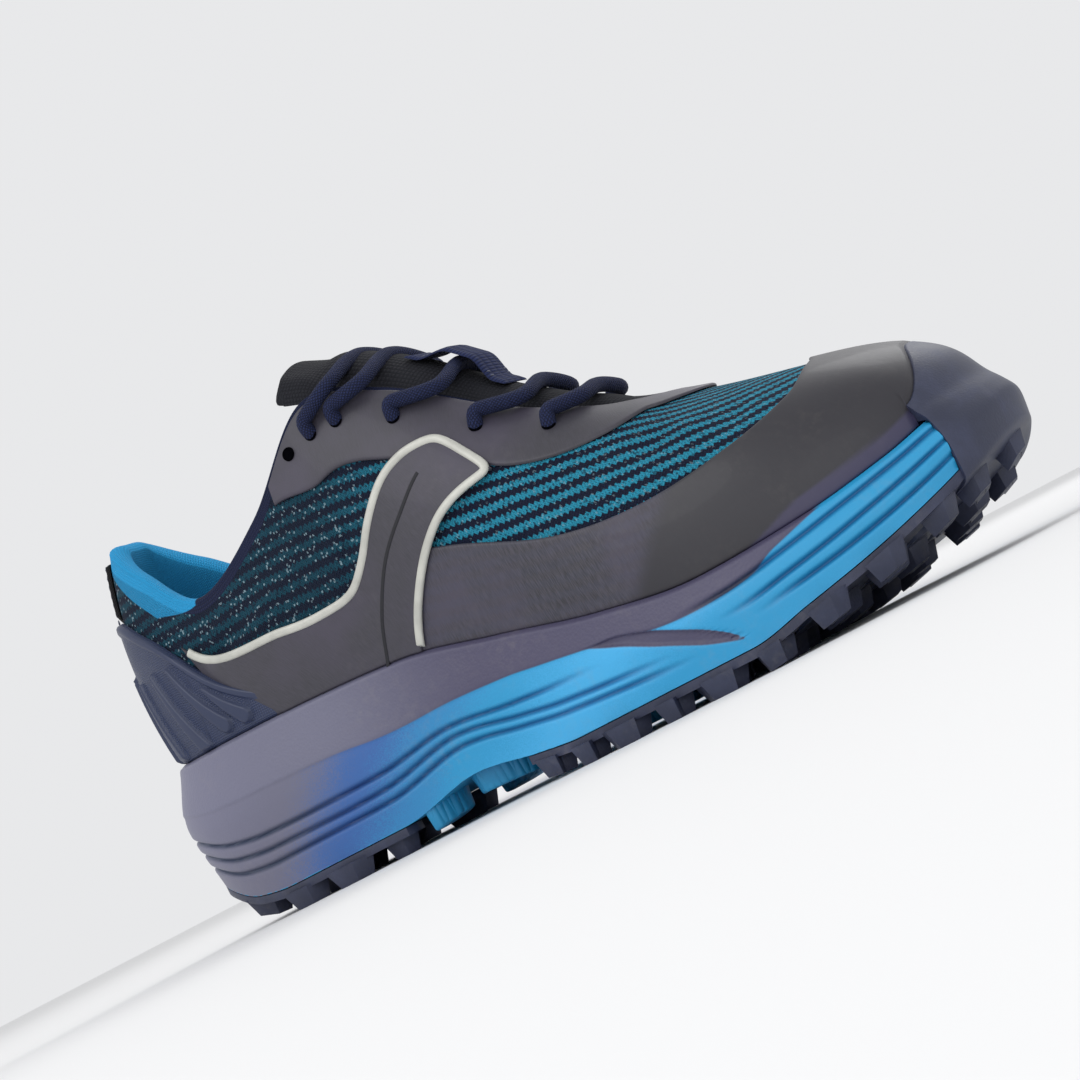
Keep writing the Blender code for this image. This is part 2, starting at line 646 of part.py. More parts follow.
def bumper_object(cutters):
    """Rubber that rises from the plate round the toe and over its front."""
    outside, inside = [], []
    for u in columns(HALF - BUMPER_SPAN, HALF + BUMPER_SPAN):
        share = bumper_share(u)
        thick = BUMPER * share
        proud = 0.0005
        outer, inner = [], []
        for flare, level in ((-0.007, 0.0), (proud, 0.0)):
            point = side_point(u, level, inset=-flare)
            point[2] = rubber_bottom(point[0]) - proud
            outer.append(point)
        for flare in (-0.007, -thick):
            point = side_point(u, 0.0, inset=-flare)
            point[2] = rubber_top(point[0]) - proud
            inner.append(point)
        for level in (0.25, 0.55, 0.85):
            outer.append(side_point(u, level, inset=-proud * (1 - level)))
            inner.append(side_point(u, level, inset=thick))
        edge = side_point(u, 1.0)
        edge[2] += 0.0015
        outer.append(edge)
        edge = side_point(u, 1.0, inset=thick)
        edge[2] += 0.0005
        inner.append(edge)
        low = level_share(u, rim_height(u) + 0.0016)
        high = bumper_high(u)
        for i in range(5):
            share = i / 4
            outer.append(upper_point(u, mix(low + 0.02, high, share), BUMPER * mix(1.2, 0.6, share)))
            inner.append(upper_point(u, mix(low, high, share), CURVED_GAP))
        outside.append(outer)
        inside.append(inner)
    mesh = patch_mesh("toe_bumper", outside, inside)
    return as_cutter(add_object("toe_bumper", mesh, None, cutters))


def midsole(finish, group, cutters):
    """Foam with a cupped rim, ribs round its side and blocks under the waist."""
    rings = []
    for row in SIDE_ROWS:
        rings.append([side_point(u, row.level, row.groove, foam_inset(u)) for u in columns()])
    inner = [[], [], [], []]
    for u in columns():
        top_share = level_share(u, rim_height(u))
        for i, share in enumerate((1.0, 0.6, 0.25, 0.0)):
            point = upper_point(u, top_share * share, CURVED_GAP)
            if share == 0.0:
                point = outline(u, CURVED_GAP)
                point[2] = bed_height(point[0])
            inner[i].append(point)
    rings += inner
    made = add_object("midsole", capped_mesh("midsole", rings, tread_height, bed_height), finish, group)
    bm = bmesh.new()
    for spots in FOAM_BLOCKS:
        plan = [(spot.along * LENGTH - CENTRE, spot.across * BALL_WIDTH) for spot in spots]
        block(bm, plan, lambda x: tread_height(x) + RUBBER,
              lambda x: tread_height(x) - BLOCK_DEPTH + RUBBER / 2, 0.88)
    blocks = as_cutter(add_object("foam_blocks", finish_mesh("foam_blocks", bm), None, cutters))
    boolean(made, "UNION", blocks)
    return made


def wall_at(u, v):
    """Thickness of the upper: a plain wall, padded towards the collar."""
    behind = min(u % SPANS, SPANS - u % SPANS)
    pad = smooth((5.2 - behind) / 1.2) * smooth((v - 0.45) / 0.35) * smooth((1.25 - v) / 0.3)
    return WALL + COLLAR_PAD * pad


def upper(finish, group):
    """One hollow shell from the bed to the collar and throat."""
    rings = [[upper_point(u, v) for u in columns()] for v in OUTER_ROWS]
    crown = []
    for u in columns():
        point = upper_point(u, 1.0, -wall_at(u, 1.0) / 2)
        point[2] += wall_at(u, 1.0) / 4
        crown.append(point)
    rings.append(crown)
    rings += [[upper_point(u, v, -wall_at(u, v)) for u in columns()] for v in INNER_ROWS]
    foot = []
    for u in columns():
        point = outline(u, -WALL)
        point[2] = round_loop(FOOT, u)[2]
        foot.append(point)
    rings.append(foot)
    return add_object("upper", tube_mesh("upper", rings), finish, group)


def insole(finish, group):
    """Removable footbed, lying on the foam inside the upper."""
    rings = []
    for inset, lift in ((GAP, 0.0), (0.0010, 1.0)):
        ring = []
        for u in columns():
            point = outline(u, -(WALL + inset))
            point[2] = bed_height(point[0]) + GAP + INSOLE * lift
            ring.append(point)
        rings.append(ring)
    mesh = capped_mesh("insole", rings, lambda x: bed_height(x) + GAP,
                       lambda x: bed_height(x) + GAP + INSOLE)
    return add_object("insole", mesh, finish, group)


def throat_share(u, width):
    """The v that lies a given width below the throat edge."""
    low, high = 0.3, 1.0
    edge = shell(u, 1.0)
    for _ in range(24):
        middle = (low + high) / 2
        if np.linalg.norm(shell(u, middle) - edge) > width:
            low = middle
        else:
            high = middle
    return (low + high) / 2


# Tongue under the throat edges, from its root up: section, and how far its crest stands above
# its edges as a share of TONGUE_CROWN. Then its free top: height is a share of TONGUE_HEIGHT at
# the crest, half a share of BALL_WIDTH.
TongueRow = namedtuple("TongueRow", "section crown")
TONGUE_ROWS = [
    TongueRow(9.5, 0.06), TongueRow(8.9, 0.20), TongueRow(8.2, 0.40), TongueRow(7.6, 0.50),
    TongueRow(6.9, 0.70), TongueRow(6.2, 0.90), TongueRow(5.5, 1.00),
]
TongueTop = namedtuple("TongueTop", "along height half")
TONGUE_TOP = [TongueTop(0.402, 0.970, 0.185), TongueTop(0.370, 1.000, 0.170)]
TONGUE_CROWN = 0.0100
TONGUE_FALL = 0.0110      # how far the sides of its free top hang
TONGUE_ROOT = 0.0070      # how far it runs on under the vamp
TONGUE_CLEAR = 0.0008


def tongue_crown(u):
    rows = TONGUE_ROWS[::-1]
    sections = np.array([row.section for row in rows])
    return steady(sections, np.array([row.crown for row in rows]), u) * TONGUE_CROWN


def tongue_section(outer, inner, crown):
    """Nine points across: hidden edge, throat edge, an arch, and the same again."""
    mirror = np.array([1.0, -1.0, 1.0])
    row = [outer, inner]
    for j in range(1, 6):
        place = mix(inner, inner * mirror, j / 6)
        place[2] += crown * (1 - (j / 3 - 1) ** 2)
        row.append(place)
    return row + [inner * mirror, outer * mirror]


def tongue(finish, group):
    """Padded strip under the laces, thin at its edges."""
    inward = -(WALL + TONGUE_CLEAR)
    front = np.linspace(HALF - 2, HALF + 2, 9)
    top = [[upper_point(u, throat_share(u, TONGUE_ROOT), inward) for u in front]]
    for u, _ in TONGUE_ROWS:
        outer = upper_point(u, throat_share(u, TONGUE_FALL * 0.5), inward)
        top.append(tongue_section(outer, upper_point(u, 1.0, inward), tongue_crown(u)))
    for row in TONGUE_TOP:
        x = row.along * LENGTH - CENTRE
        crest = row.height * TONGUE_HEIGHT
        inner = np.array([x, -row.half * BALL_WIDTH, crest - TONGUE_FALL / 2])
        outer = inner + np.array([0.0, -TONGUE_FALL * 0.15, -TONGUE_FALL * 0.4])
        top.append(tongue_section(outer, inner, TONGUE_FALL / 2))
    under = []
    for i, row in enumerate(top):
        before, after = top[max(i - 1, 0)][4], top[min(i + 1, len(top) - 1)][4]
        rise = (after - before) / np.linalg.norm(after - before)
        normal = np.array([rise[2], 0.0, -rise[0]])
        pad = smooth(i / len(TONGUE_ROWS))
        thick = [mix(TONGUE_EDGE, mix(TONGUE_EDGE, TONGUE_PAD, pad), 1 - (j / 4 - 1) ** 4) for j in range(9)]
        under.append([point - normal * depth for point, depth in zip(row, thick)])
    return add_object("tongue", patch_mesh("tongue", top, under), finish, group)


def overlay(name, places, thick, finish, group, gap=CURVED_GAP):
    """A thin piece on the upper: places is a grid of (u, v) with an optional extra height."""
    outside = [[upper_point(u, v, gap + thick + extra) for u, v, extra in row] for row in places]
    inside = [[upper_point(u, v, gap) for u, v, _ in row] for row in places]
    return add_object(name, patch_mesh(name, outside, inside), finish, group)


# Top edge of the heel counter, as a share of HEEL_HEIGHT at each section from the back
COUNTER_TOP = (0.775, 0.825, 0.745, 0.565, 0.430)
COUNTER_SPAN = 3.6
COUNTER_RIBS = 5


def counter_height(u):
    return steady(np.arange(5.0), np.array(COUNTER_TOP), abs(u)) * HEEL_HEIGHT


def heel_counter(finish, group):
    """Moulded cup round the heel, with ribs that fan out on each side."""
    places = []
    for u in columns(-COUNTER_SPAN, COUNTER_SPAN, 5):
        low = level_share(u, rim_height(u) + CURVED_GAP)
        high = level_share(u, max(counter_height(u), rim_height(u) + 0.004))
        rib = 0.5 - 0.5 * cos(2 * pi * COUNTER_RIBS * min(abs(u) / 2.6, 1.0))
        row = []
        for i, share in enumerate((0.0, 0.12, 0.5, 0.86, 1.0)):
            raised = rib * COUNTER_RIB if 0 < i < 4 else 0.0
            row.append((u, mix(low, high, share), raised))
        places.append(row)
    return overlay("heel_counter", places, COUNTER, finish, group)


def pull_tape(finish, group):
    """Tape down the back seam, from the tab to the counter."""
    places = []
    for share in np.linspace(-0.5, 0.5, 4):
        u = share * TAPE_WIDTH / (LAST[1].lateral * BALL_WIDTH)
        low = level_share(u, counter_height(u)) + 0.03
        places.append([(u, v, 0.0) for v in np.linspace(low, 0.97, 6)])
    return overlay("pull_tape", places, TAPE, finish, group)


# Width of the eyestay at sections from its end on the collar, as a share of EYESTAY_WIDTH
EYESTAY_START = 13 / STEPS
EYESTAY_SECTIONS = (EYESTAY_START, 5.0, 6.9, 8.9)
EYESTAY_SHARES = (0.30, 1.00, 1.00, 0.52)


def eyestay_low(u, below=0.0):
    """The v of the eyestay's lower edge, or of a line that far below it."""
    share = steady(np.array(EYESTAY_SECTIONS), np.array(EYESTAY_SHARES), min(u, SPANS - u))
    return throat_share(u, EYESTAY_WIDTH * share + below)


def eyestay(finish, group):
    """Film round the throat that carries the eyelets."""
    places = []
    for u in columns(EYESTAY_START, SPANS - EYESTAY_START):
        low = eyestay_low(u)
        places.append([(u, mix(low, 0.985, share), 0.0) for share in (0.0, 0.33, 0.67, 1.0)])
    return overlay("eyestay", places, FILM, finish, group)


# Top edge of the rand film from section 4 on, as a share from the rim (0) to the throat (1)
RAND_TOP = (0.37, 0.40, 0.32, 0.31, 0.34, 0.40, 0.46, 0.57, 0.65)
RAND_START = 11 / STEPS


def rand_top(u):
    """The v of the rand film's top edge."""
    share = steady(np.arange(4.0, 13.0), np.array(RAND_TOP), min(u, SPANS - u))
    return mix(level_share(u, rim_height(u)), 1.0, share)


def rand_low(u):
    """Lower edge of the rand film: on the rim, or past the bumper round the toe."""
    if abs(u - HALF) > BUMPER_SPAN + 0.01:
        return level_share(u, rim_height(u) + CURVED_GAP)
    return bumper_high(u) + 0.03


def rand_film(finish, group):
    """Film along the foot of the upper and over the toe."""
    places = []
    for u in columns(RAND_START, SPANS - RAND_START):
        low = rand_low(u)
        high = max(rand_top(u), low + 0.04)
        places.append([(u, mix(low, high, share), 0.0) for share in np.linspace(0.0, 1.0, 6)])
    return overlay("rand_film", places, FILM, finish, group, TOE_GAP)


def saddle(name, side, finish, group):
    """Band that ties the rand film to the eyestay across the waist."""
    places = []
    for share in np.linspace(0.0, 1.0, 4):
        row = []
        for j in range(4):
            u = 4.65 + 1.25 * share + (j / 3) * (0.95 - 0.30 * share)
            foot = rand_top(u) + 0.02
            head = eyestay_low(u, 0.0015)
            row.append((u if side < 0 else SPANS - u, mix(foot, head, share), 0.0))
        places.append(row)
    return overlay(name, places, FILM, finish, group)


def lace_bar(name, number, finish, group):
    """One bar of lace over the tongue, between the eyelets of a pair."""
    u = EYELETS[number]
    lift = GAP + FILM + LACE * 0.62
    eyelet = (u, throat_share(u, EYELET_INSET))
    edge = (u + LACE_LEAN, 1.0)
    left = [upper_point(*place, lift) for place in (eyelet, edge)]
    right = [upper_point(SPANS - place[0], place[1], lift) for place in (edge, eyelet)]
    crest = (left[1] + right[0]) / 2
    crest[2] += tongue_crown(edge[0]) + LACE_RISE
    keys = [2 * left[0] - left[1]] + left + [crest] + right + [2 * right[1] - right[0]]
    places = []
    for i in range(1, len(keys) - 2):
        for t in (0.0, 0.5):
            places.append(open_curve(keys[i - 1:i + 3], t))
    places.append(keys[-2])
    curve = bpy.data.curves.new(name, "CURVE")
    curve.dimensions = "3D"
    curve.bevel_depth = LACE / 2
    curve.bevel_resolution = 1
    curve.use_fill_caps = True
    spline = curve.splines.new("POLY")
    spline.points.add(len(places) - 1)
    for point, place in zip(spline.points, places):
        point.co = (*place, 1)
    drawn = bpy.data.objects.new(name + "_drawn", curve)
    group.objects.link(drawn)
    made = mesh_from_curve(name, drawn, group)
    made.data.materials.append(finish)
    return made


def main():
    for old in list(bpy.data.objects):
        bpy.data.objects.remove(old)
    shoe = collection("trail_running_shoe")
    cutters = collection("cutters")
    rubber = material("navy_rubber", (0.045, 0.052, 0.085), 0.62)
    foam = material("cyan_foam", (0.012, 0.32, 0.62), 0.55)
    knit = material("navy_knit", (0.015, 0.045, 0.11), 0.85)
    film = material("charcoal_film", (0.04, 0.04, 0.055), 0.45)
    counter = material("navy_moulding", (0.03, 0.05, 0.13), 0.5)
    tape = material("black_tape", (0.01, 0.01, 0.012), 0.8)
    lining = material("blue_lining", (0.02, 0.3, 0.6), 0.9)
    cord = material("navy_lace", (0.02, 0.035, 0.12), 0.85)

    heel, heel_lugs = outsole_piece("outsole_heel", HEEL_EDGE, HEEL_LUGS, rubber, shoe, cutters)
    boolean(heel, "UNION", heel_lugs)
    fore, fore_lugs = outsole_piece("outsole_forefoot", FORE_EDGE, FORE_LUGS, rubber, shoe, cutters)
    channels = prism("channels", CHANNELS, -LUG_DEPTH, HEEL_STACK, cutters)
    boolean(fore, "DIFFERENCE", as_cutter(channels))
    boolean(fore, "UNION", bumper_object(cutters))
    boolean(fore, "UNION", fore_lugs)
    midsole(foam, shoe, cutters)
    upper(knit, shoe)
    insole(lining, shoe)
    tongue(tape, shoe)
    heel_counter(counter, shoe)
    pull_tape(tape, shoe)
    eyestay(film, shoe)
    rand_film(film, shoe)
    saddle("saddle_lateral", -1, film, shoe)
    saddle("saddle_medial", 1, film, shoe)
    for number in range(len(EYELETS)):
        lace_bar(f"lace_bar_{number + 1}", number, cord, shoe)


main()
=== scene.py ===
"""Looks of the trail running shoe: knit, welded film, moulded foam, rubber and lace."""
from collections import namedtuple
from math import cos, pi, radians, sin

import bmesh
import bpy
import numpy as np
from mathutils import Matrix, Vector


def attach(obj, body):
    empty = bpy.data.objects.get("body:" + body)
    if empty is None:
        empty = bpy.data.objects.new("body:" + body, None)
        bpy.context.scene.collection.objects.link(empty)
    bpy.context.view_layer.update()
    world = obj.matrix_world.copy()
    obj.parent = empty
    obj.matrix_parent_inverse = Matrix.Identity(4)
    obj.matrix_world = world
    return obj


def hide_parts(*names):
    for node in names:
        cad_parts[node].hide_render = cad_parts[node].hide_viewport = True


bl_info = {
    "name": "Trail Running Shoe",
    "version": (1, 0, 0),
    "blender": (4, 5, 0),
    "location": "3D View > Sidebar > Shoe",
    "description": "Dresses the solids of a trail running shoe with knit, film, foam, rubber and lace",
    "category": "Add Mesh",
}

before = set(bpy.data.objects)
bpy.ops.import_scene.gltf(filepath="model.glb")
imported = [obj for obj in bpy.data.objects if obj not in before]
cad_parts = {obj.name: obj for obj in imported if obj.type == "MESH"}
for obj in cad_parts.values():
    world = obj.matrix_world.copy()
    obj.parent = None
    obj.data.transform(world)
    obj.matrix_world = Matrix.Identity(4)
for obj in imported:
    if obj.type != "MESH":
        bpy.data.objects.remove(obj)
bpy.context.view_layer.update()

# Sizes of the last and sole, as the solids have them, in metres
LENGTH = 0.304
BALL_WIDTH = 0.106
HEEL_HEIGHT = 0.130
INSTEP_HEIGHT = 0.135
LUG_DEPTH = 0.005
RUBBER = 0.0025
HEEL_STACK = 0.030
FORE_STACK = 0.016
HEEL_BEVEL = 0.0127
ARCH_LIFT = 0.0045
TOE_SPRING = 0.026
RIM_HEIGHT = 0.019
BUMPER = 0.0026
BLOCK_DEPTH = 0.0075
LUG_LENGTH = 0.0135
LUG_WIDTH = 0.0125
WALL = 0.0022
COLLAR_PAD = 0.0050
INSOLE = 0.0040
TONGUE_HEIGHT = 0.150
GAP = 0.0003
SPANS = 24
HALF = SPANS // 2
CENTRE = LENGTH / 2
GROUND_TO_FOAM = LUG_DEPTH + RUBBER + GAP

# Last sections from the heel (row 0) round one side to the toe (row 12).
# along: share of LENGTH. lateral, medial, lean: shares of BALL_WIDTH.
Last = namedtuple("Last", "along lateral medial lean rise")
LAST = [
    Last(0.058, 0.000, 0.000, 0.080, 0.26),
    Last(0.071, 0.132, 0.132, 0.076, 0.26),
    Last(0.105, 0.236, 0.226, 0.065, 0.27),
    Last(0.171, 0.297, 0.278, 0.050, 0.33),
    Last(0.276, 0.316, 0.292, 0.050, 0.34),
    Last(0.388, 0.321, 0.274, 0.055, 0.34),
    Last(0.503, 0.358, 0.292, 0.055, 0.36),
    Last(0.618, 0.415, 0.358, 0.045, 0.38),
    Last(0.720, 0.439, 0.425, 0.045, 0.42),
    Last(0.822, 0.396, 0.412, 0.055, 0.48),
    Last(0.898, 0.288, 0.335, 0.072, 0.58),
    Last(0.943, 0.151, 0.230, 0.092, 0.68),
    Last(0.965, -0.057, 0.057, 0.095, 0.74),
]

# Top line of the same sections. half: share of BALL_WIDTH. heel, instep: shares of those heights.
Top = namedtuple("Top", "along half heel instep reach swell drop")
TOP_LINE = [
    Top(0.058, 0.000, 1.000, 0.000, 0.0, 0.105, 0.33),
    Top(0.068, 0.100, 0.985, 0.000, 0.0, 0.100, 0.33),
    Top(0.110, 0.185, 0.890, 0.000, 0.0, 0.085, 0.34),
    Top(0.186, 0.270, 0.752, 0.000, 0.0, 0.045, 0.34),
    Top(0.292, 0.283, 0.500, 0.330, 0.0, 0.050, 0.34),
    Top(0.392, 0.236, 0.000, 0.990, 0.0, 0.085, 0.29),
    Top(0.477, 0.192, 0.000, 0.926, 0.0, 0.125, 0.20),
    Top(0.579, 0.151, 0.000, 0.755, 0.0, 0.190, 0.15),
    Top(0.651, 0.123, 0.000, 0.662, 0.4, 0.070, 0.14),
    Top(0.688, 0.090, 0.000, 0.630, 0.4, 0.125, 0.23),
    Top(0.702, 0.057, 0.000, 0.620, 0.4, 0.135, 0.29),
    Top(0.709, 0.028, 0.000, 0.615, 0.45, 0.110, 0.33),
    Top(0.711, 0.000, 0.000, 0.613, 0.55, 0.030, 0.34),
]

# Side of the sole: flares in shares of BALL_WIDTH, rim in shares of RIM_HEIGHT
Side = namedtuple("Side", "tread bulge edge rim")
SIDE = [
    Side(0.130, 0.166, 0.040, 1.00), Side(0.118, 0.145, 0.038, 1.00),
    Side(0.094, 0.115, 0.035, 0.95), Side(0.075, 0.094, 0.031, 0.92),
    Side(0.066, 0.085, 0.030, 0.90), Side(0.057, 0.071, 0.027, 0.92),
    Side(0.066, 0.073, 0.027, 0.76), Side(0.061, 0.066, 0.030, 0.50),
    Side(0.061, 0.066, 0.031, 0.36), Side(0.066, 0.068, 0.031, 0.38),
    Side(0.073, 0.078, 0.036, 0.44), Side(0.076, 0.092, 0.048, 0.56),
    Side(0.078, 0.098, 0.053, 0.58),
]

Profile = namedtuple("Profile", "along bevel arch spring heel bed_spring")
PROFILE = [
    Profile(0.000, 1.00, 0.0, 0.00, 1.00, 0.00), Profile(0.050, 0.66, 0.0, 0.00, 1.00, 0.00),
    Profile(0.110, 0.12, 0.0, 0.00, 1.00, 0.00), Profile(0.160, 0.00, 0.0, 0.00, 1.00, 0.00),
    Profile(0.310, 0.00, 0.0, 0.00, 0.90, 0.00), Profile(0.410, 0.00, 1.0, 0.00, 0.66, 0.00),
    Profile(0.490, 0.00, 0.3, 0.00, 0.42, 0.00), Profile(0.540, 0.00, 0.0, 0.00, 0.28, 0.00),
    Profile(0.740, 0.00, 0.0, 0.00, 0.00, 0.00), Profile(0.800, 0.00, 0.0, 0.13, 0.00, 0.02),
    Profile(0.860, 0.00, 0.0, 0.28, 0.00, 0.08), Profile(0.905, 0.00, 0.0, 0.43, 0.00, 0.15),
    Profile(0.955, 0.00, 0.0, 0.66, 0.00, 0.25), Profile(1.000, 0.00, 0.0, 1.00, 0.00, 0.38),
]


def smooth(share):
    """Ease from 0 to 1."""
    share = np.clip(share, 0.0, 1.0)
    return share * share * (3 - 2 * share)


def mix(a, b, share):
    return a + (b - a) * share


def steady(xs, ys, x):
    """Interpolate without overshoot, for one value or an array."""
    xs, ys = np.asarray(xs, float), np.asarray(ys, float)
    x = np.clip(x, xs[0], xs[-1])
    steps = np.diff(xs)
    slopes = np.diff(ys) / steps
    tangents = np.concatenate((slopes[:1], np.zeros(len(xs) - 2), slopes[-1:]))
    before, after = slopes[:-1], slopes[1:]
    rising = before * after > 0
    total = np.where(rising, before + after, 1.0)
    tangents[1:-1] = np.where(rising, 2 * before * after / total, 0.0)
    i = np.clip(np.searchsorted(xs, x, side="right") - 1, 0, len(xs) - 2)
    t = (x - xs[i]) / steps[i]
    return (ys[i] * (1 + 2 * t) * (1 - t) ** 2 + tangents[i] * steps[i] * t * (1 - t) ** 2
            + ys[i + 1] * t * t * (3 - 2 * t) + tangents[i + 1] * steps[i] * t * t * (t - 1))


def column(table, name):
    return np.array([getattr(row, name) for row in table], float)


def behind(u):
    """Sections from the heel, on either side."""
    u = np.mod(u, SPANS)
    return np.minimum(u, SPANS - u)


def by_section(table, name, u):
    return steady(np.arange(HALF + 1.0), column(table, name), behind(u))


def along_profile(name, x):
    return steady(column(PROFILE, "along"), column(PROFILE, name), (x + CENTRE) / LENGTH)


def tread_height(x):
    """Underside of the foam."""
    lift = along_profile("bevel", x) * HEEL_BEVEL + along_profile("arch", x) * ARCH_LIFT
    return GROUND_TO_FOAM + lift + along_profile("spring", x) * TOE_SPRING


def bed_height(x):
    """Top of the foam under the foot."""
    stack = mix(FORE_STACK, HEEL_STACK, along_profile("heel", x))
    return GROUND_TO_FOAM + stack + along_profile("bed_spring", x) * TOE_SPRING


def open_curve(a, b, c, d, t):
    """Catmull-Rom curve between b and c."""
    return 0.5 * (2 * b + (c - a) * t + (2 * a - 5 * b + 4 * c - d) * t * t
                  + (3 * b - a - 3 * c + d) * t ** 3)


def round_loop(loop, u):
    u = np.asarray(u, float)
    k = np.floor(u).astype(int)
    t = (u - k)[..., None]
    a, b, c, d = (loop[np.mod(k + j, SPANS)] for j in (-1, 0, 1, 2))
    return open_curve(a, b, c, d, t)


SECTION_SIDES = [(k, -1) for k in range(HALF + 1)] + [(k, 1) for k in range(HALF - 1, 0, -1)]


def foot_loop():
    points = []
    for k, side in SECTION_SIDES:
        width = LAST[k].medial if side > 0 else LAST[k].lateral
        x = LAST[k].along * LENGTH - CENTRE
        points.append((x, side * width * BALL_WIDTH, float(bed_height(x)) + GAP))
    return np.array(points)


def top_loop():
    points = []
    for k, side in SECTION_SIDES:
        row = TOP_LINE[k]
        z = row.heel * HEEL_HEIGHT + row.instep * INSTEP_HEIGHT
        points.append((row.along * LENGTH - CENTRE, side * row.half * BALL_WIDTH, z))
    return np.array(points)


FOOT = foot_loop()
TOP = top_loop()


def unit(vectors):
    return vectors / np.linalg.norm(vectors, axis=-1, keepdims=True)


def plan_normal(u):
    """Outward direction, in plan, of the last's outline."""
    step = 0.02
    tangent = round_loop(FOOT, u + step) - round_loop(FOOT, u - step)
    flat = np.stack([tangent[..., 1], -tangent[..., 0], np.zeros_like(tangent[..., 0])], axis=-1)
    return unit(flat)


def steering_loops():
    lower, upper = [], []
    for i, (k, _) in enumerate(SECTION_SIDES):
        height = TOP[i][2] - FOOT[i][2]
        normal = plan_normal(float(i))
        up = np.array([0.0, 0.0, height])
        lower.append(FOOT[i] + normal * LAST[k].lean * BALL_WIDTH + up * LAST[k].rise)
        level = mix(TOP[i], FOOT[i], TOP_LINE[k].reach)
        level[2] = TOP[i][2]
        upper.append(level + normal * TOP_LINE[k].swell * BALL_WIDTH - up * TOP_LINE[k].drop)
    return np.array(lower), np.array(upper)


LOWER, UPPER = steering_loops()


def shell(u, v):
    """Outside of the upper: u sections from the heel, v from bed (0) to top line (1)."""
    u, v = np.broadcast_arrays(np.asarray(u, float), np.asarray(v, float))
    v = v[..., None]
    a, b, c, d = (round_loop(loop, u) for loop in (FOOT, LOWER, UPPER, TOP))
    return a * (1 - v) ** 3 + b * 3 * v * (1 - v) ** 2 + c * 3 * v * v * (1 - v) + d * v ** 3


def shell_normal(u, v):
    step = 0.02
    low, high = np.maximum(v - step, 0.0), np.minimum(v + step, 1.0)
    return unit(np.cross(shell(u + step, v) - shell(u - step, v), shell(u, high) - shell(u, low)))


# Soft creases of the upper: a trough (or ridge, where negative) at section u
# and share v, with its reach along and across and its turn in degrees. depth in metres.
Crease = namedtuple("Crease", "u v along across turn depth")
CREASES = [
    Crease(8.35, 0.62, 0.50, 0.035, 62, 0.0010),
    Crease(8.95, 0.66, 0.60, 0.040, 55, -0.0006),
    Crease(9.55, 0.60, 0.55, 0.035, 48, 0.0007),
    Crease(15.60, 0.62, 0.50, 0.035, -62, 0.0010),
    Crease(14.95, 0.64, 0.60, 0.040, -55, -0.0006),
    Crease(14.40, 0.60, 0.55, 0.035, -48, 0.0007),
    Crease(3.10, 0.74, 0.45, 0.050, 40, 0.0010),
    Crease(3.75, 0.70, 0.50, 0.060, 30, -0.0006),
    Crease(20.90, 0.74, 0.45, 0.050, -40, 0.0010),
    Crease(4.95, 0.52, 0.42, 0.016, 74, 0.0009),
    Crease(19.05, 0.52, 0.42, 0.016, -74, 0.0009),
]
SECTION_SHARE = 0.16      # how much v one section counts for, in a crease's turn


def crease_depth(u, v):
    """How far the creases press the skin in."""
    total = np.zeros(np.broadcast(u, v).shape)
    for crease in CREASES:
        turn = radians(crease.turn)
        x = (np.mod(u - crease.u + HALF, SPANS) - HALF) * SECTION_SHARE
        y = v - crease.v
        long = (x * cos(turn) + y * sin(turn)) / (crease.along * SECTION_SHARE)
        wide = (y * cos(turn) - x * sin(turn)) / crease.across
        total = total + crease.depth * np.exp(-long ** 2 - wide ** 2)
    return total


def skin_point(u, v, out=0.0):
    """A point on the upper's outside, moved out along its normal."""
    u, v = np.broadcast_arrays(np.asarray(u, float), np.asarray(v, float))
    out = np.asarray(out) - crease_depth(u, v)
    return shell(u, v) + shell_normal(u, v) * out[..., None]


def search(passes, low, high, shape):
    """The v, in each place, where a test turns from true to false."""
    low, high = np.full(shape, low), np.full(shape, high)
    for _ in range(20):
        middle = (low + high) / 2
        go_up = passes(middle)
        low = np.where(go_up, middle, low)
        high = np.where(go_up, high, middle)
    return (low + high) / 2


def level_share(u, z):
    u, z = np.broadcast_arrays(np.asarray(u, float), np.asarray(z, float))
    return search(lambda v: shell(u, v)[..., 2] < z, 0.0, 0.85, u.shape)


def throat_share(u, width):
    u, width = np.broadcast_arrays(np.asarray(u, float), np.asarray(width, float))
    edge = shell(u, 1.0)
    return search(lambda v: np.linalg.norm(shell(u, v) - edge, axis=-1) > width, 0.3, 1.0, u.shape)


def rim_height(u):
    return round_loop(FOOT, u)[..., 2] - GAP + by_section(SIDE, "rim", u) * RIM_HEIGHT


def rim_flare(u):
    lean = shell(u, level_share(u, rim_height(u))) - round_loop(FOOT, u)
    return np.sum(lean * plan_normal(u), axis=-1) + by_section(SIDE, "edge", u) * BALL_WIDTH


def side_flare(u, level):
    """Flare of the sole's side from the last, between tread edge (0) and rim (1)."""
    tread, bulge = (by_section(SIDE, name, u) * BALL_WIDTH for name in ("tread", "bulge"))
    edge = rim_flare(u)
    first, second = (bulge - tread) / 0.5, (edge - bulge) / 0.5
    rising = first * second > 0
    middle = np.where(rising, 2 * first * second / np.where(rising, first + second, 1.0), 0.0)
    low = level < 0.5
    a, b = np.where(low, tread, bulge), np.where(low, bulge, edge)
    start, end = np.where(low, first, middle), np.where(low, middle, second)
    t = np.where(low, level, level - 0.5) / 0.5
    return (a * (1 + 2 * t) * (1 - t) ** 2 + start * 0.5 * t * (1 - t) ** 2
            + b * t * t * (3 - 2 * t) + end * 0.5 * t * t * (t - 1))


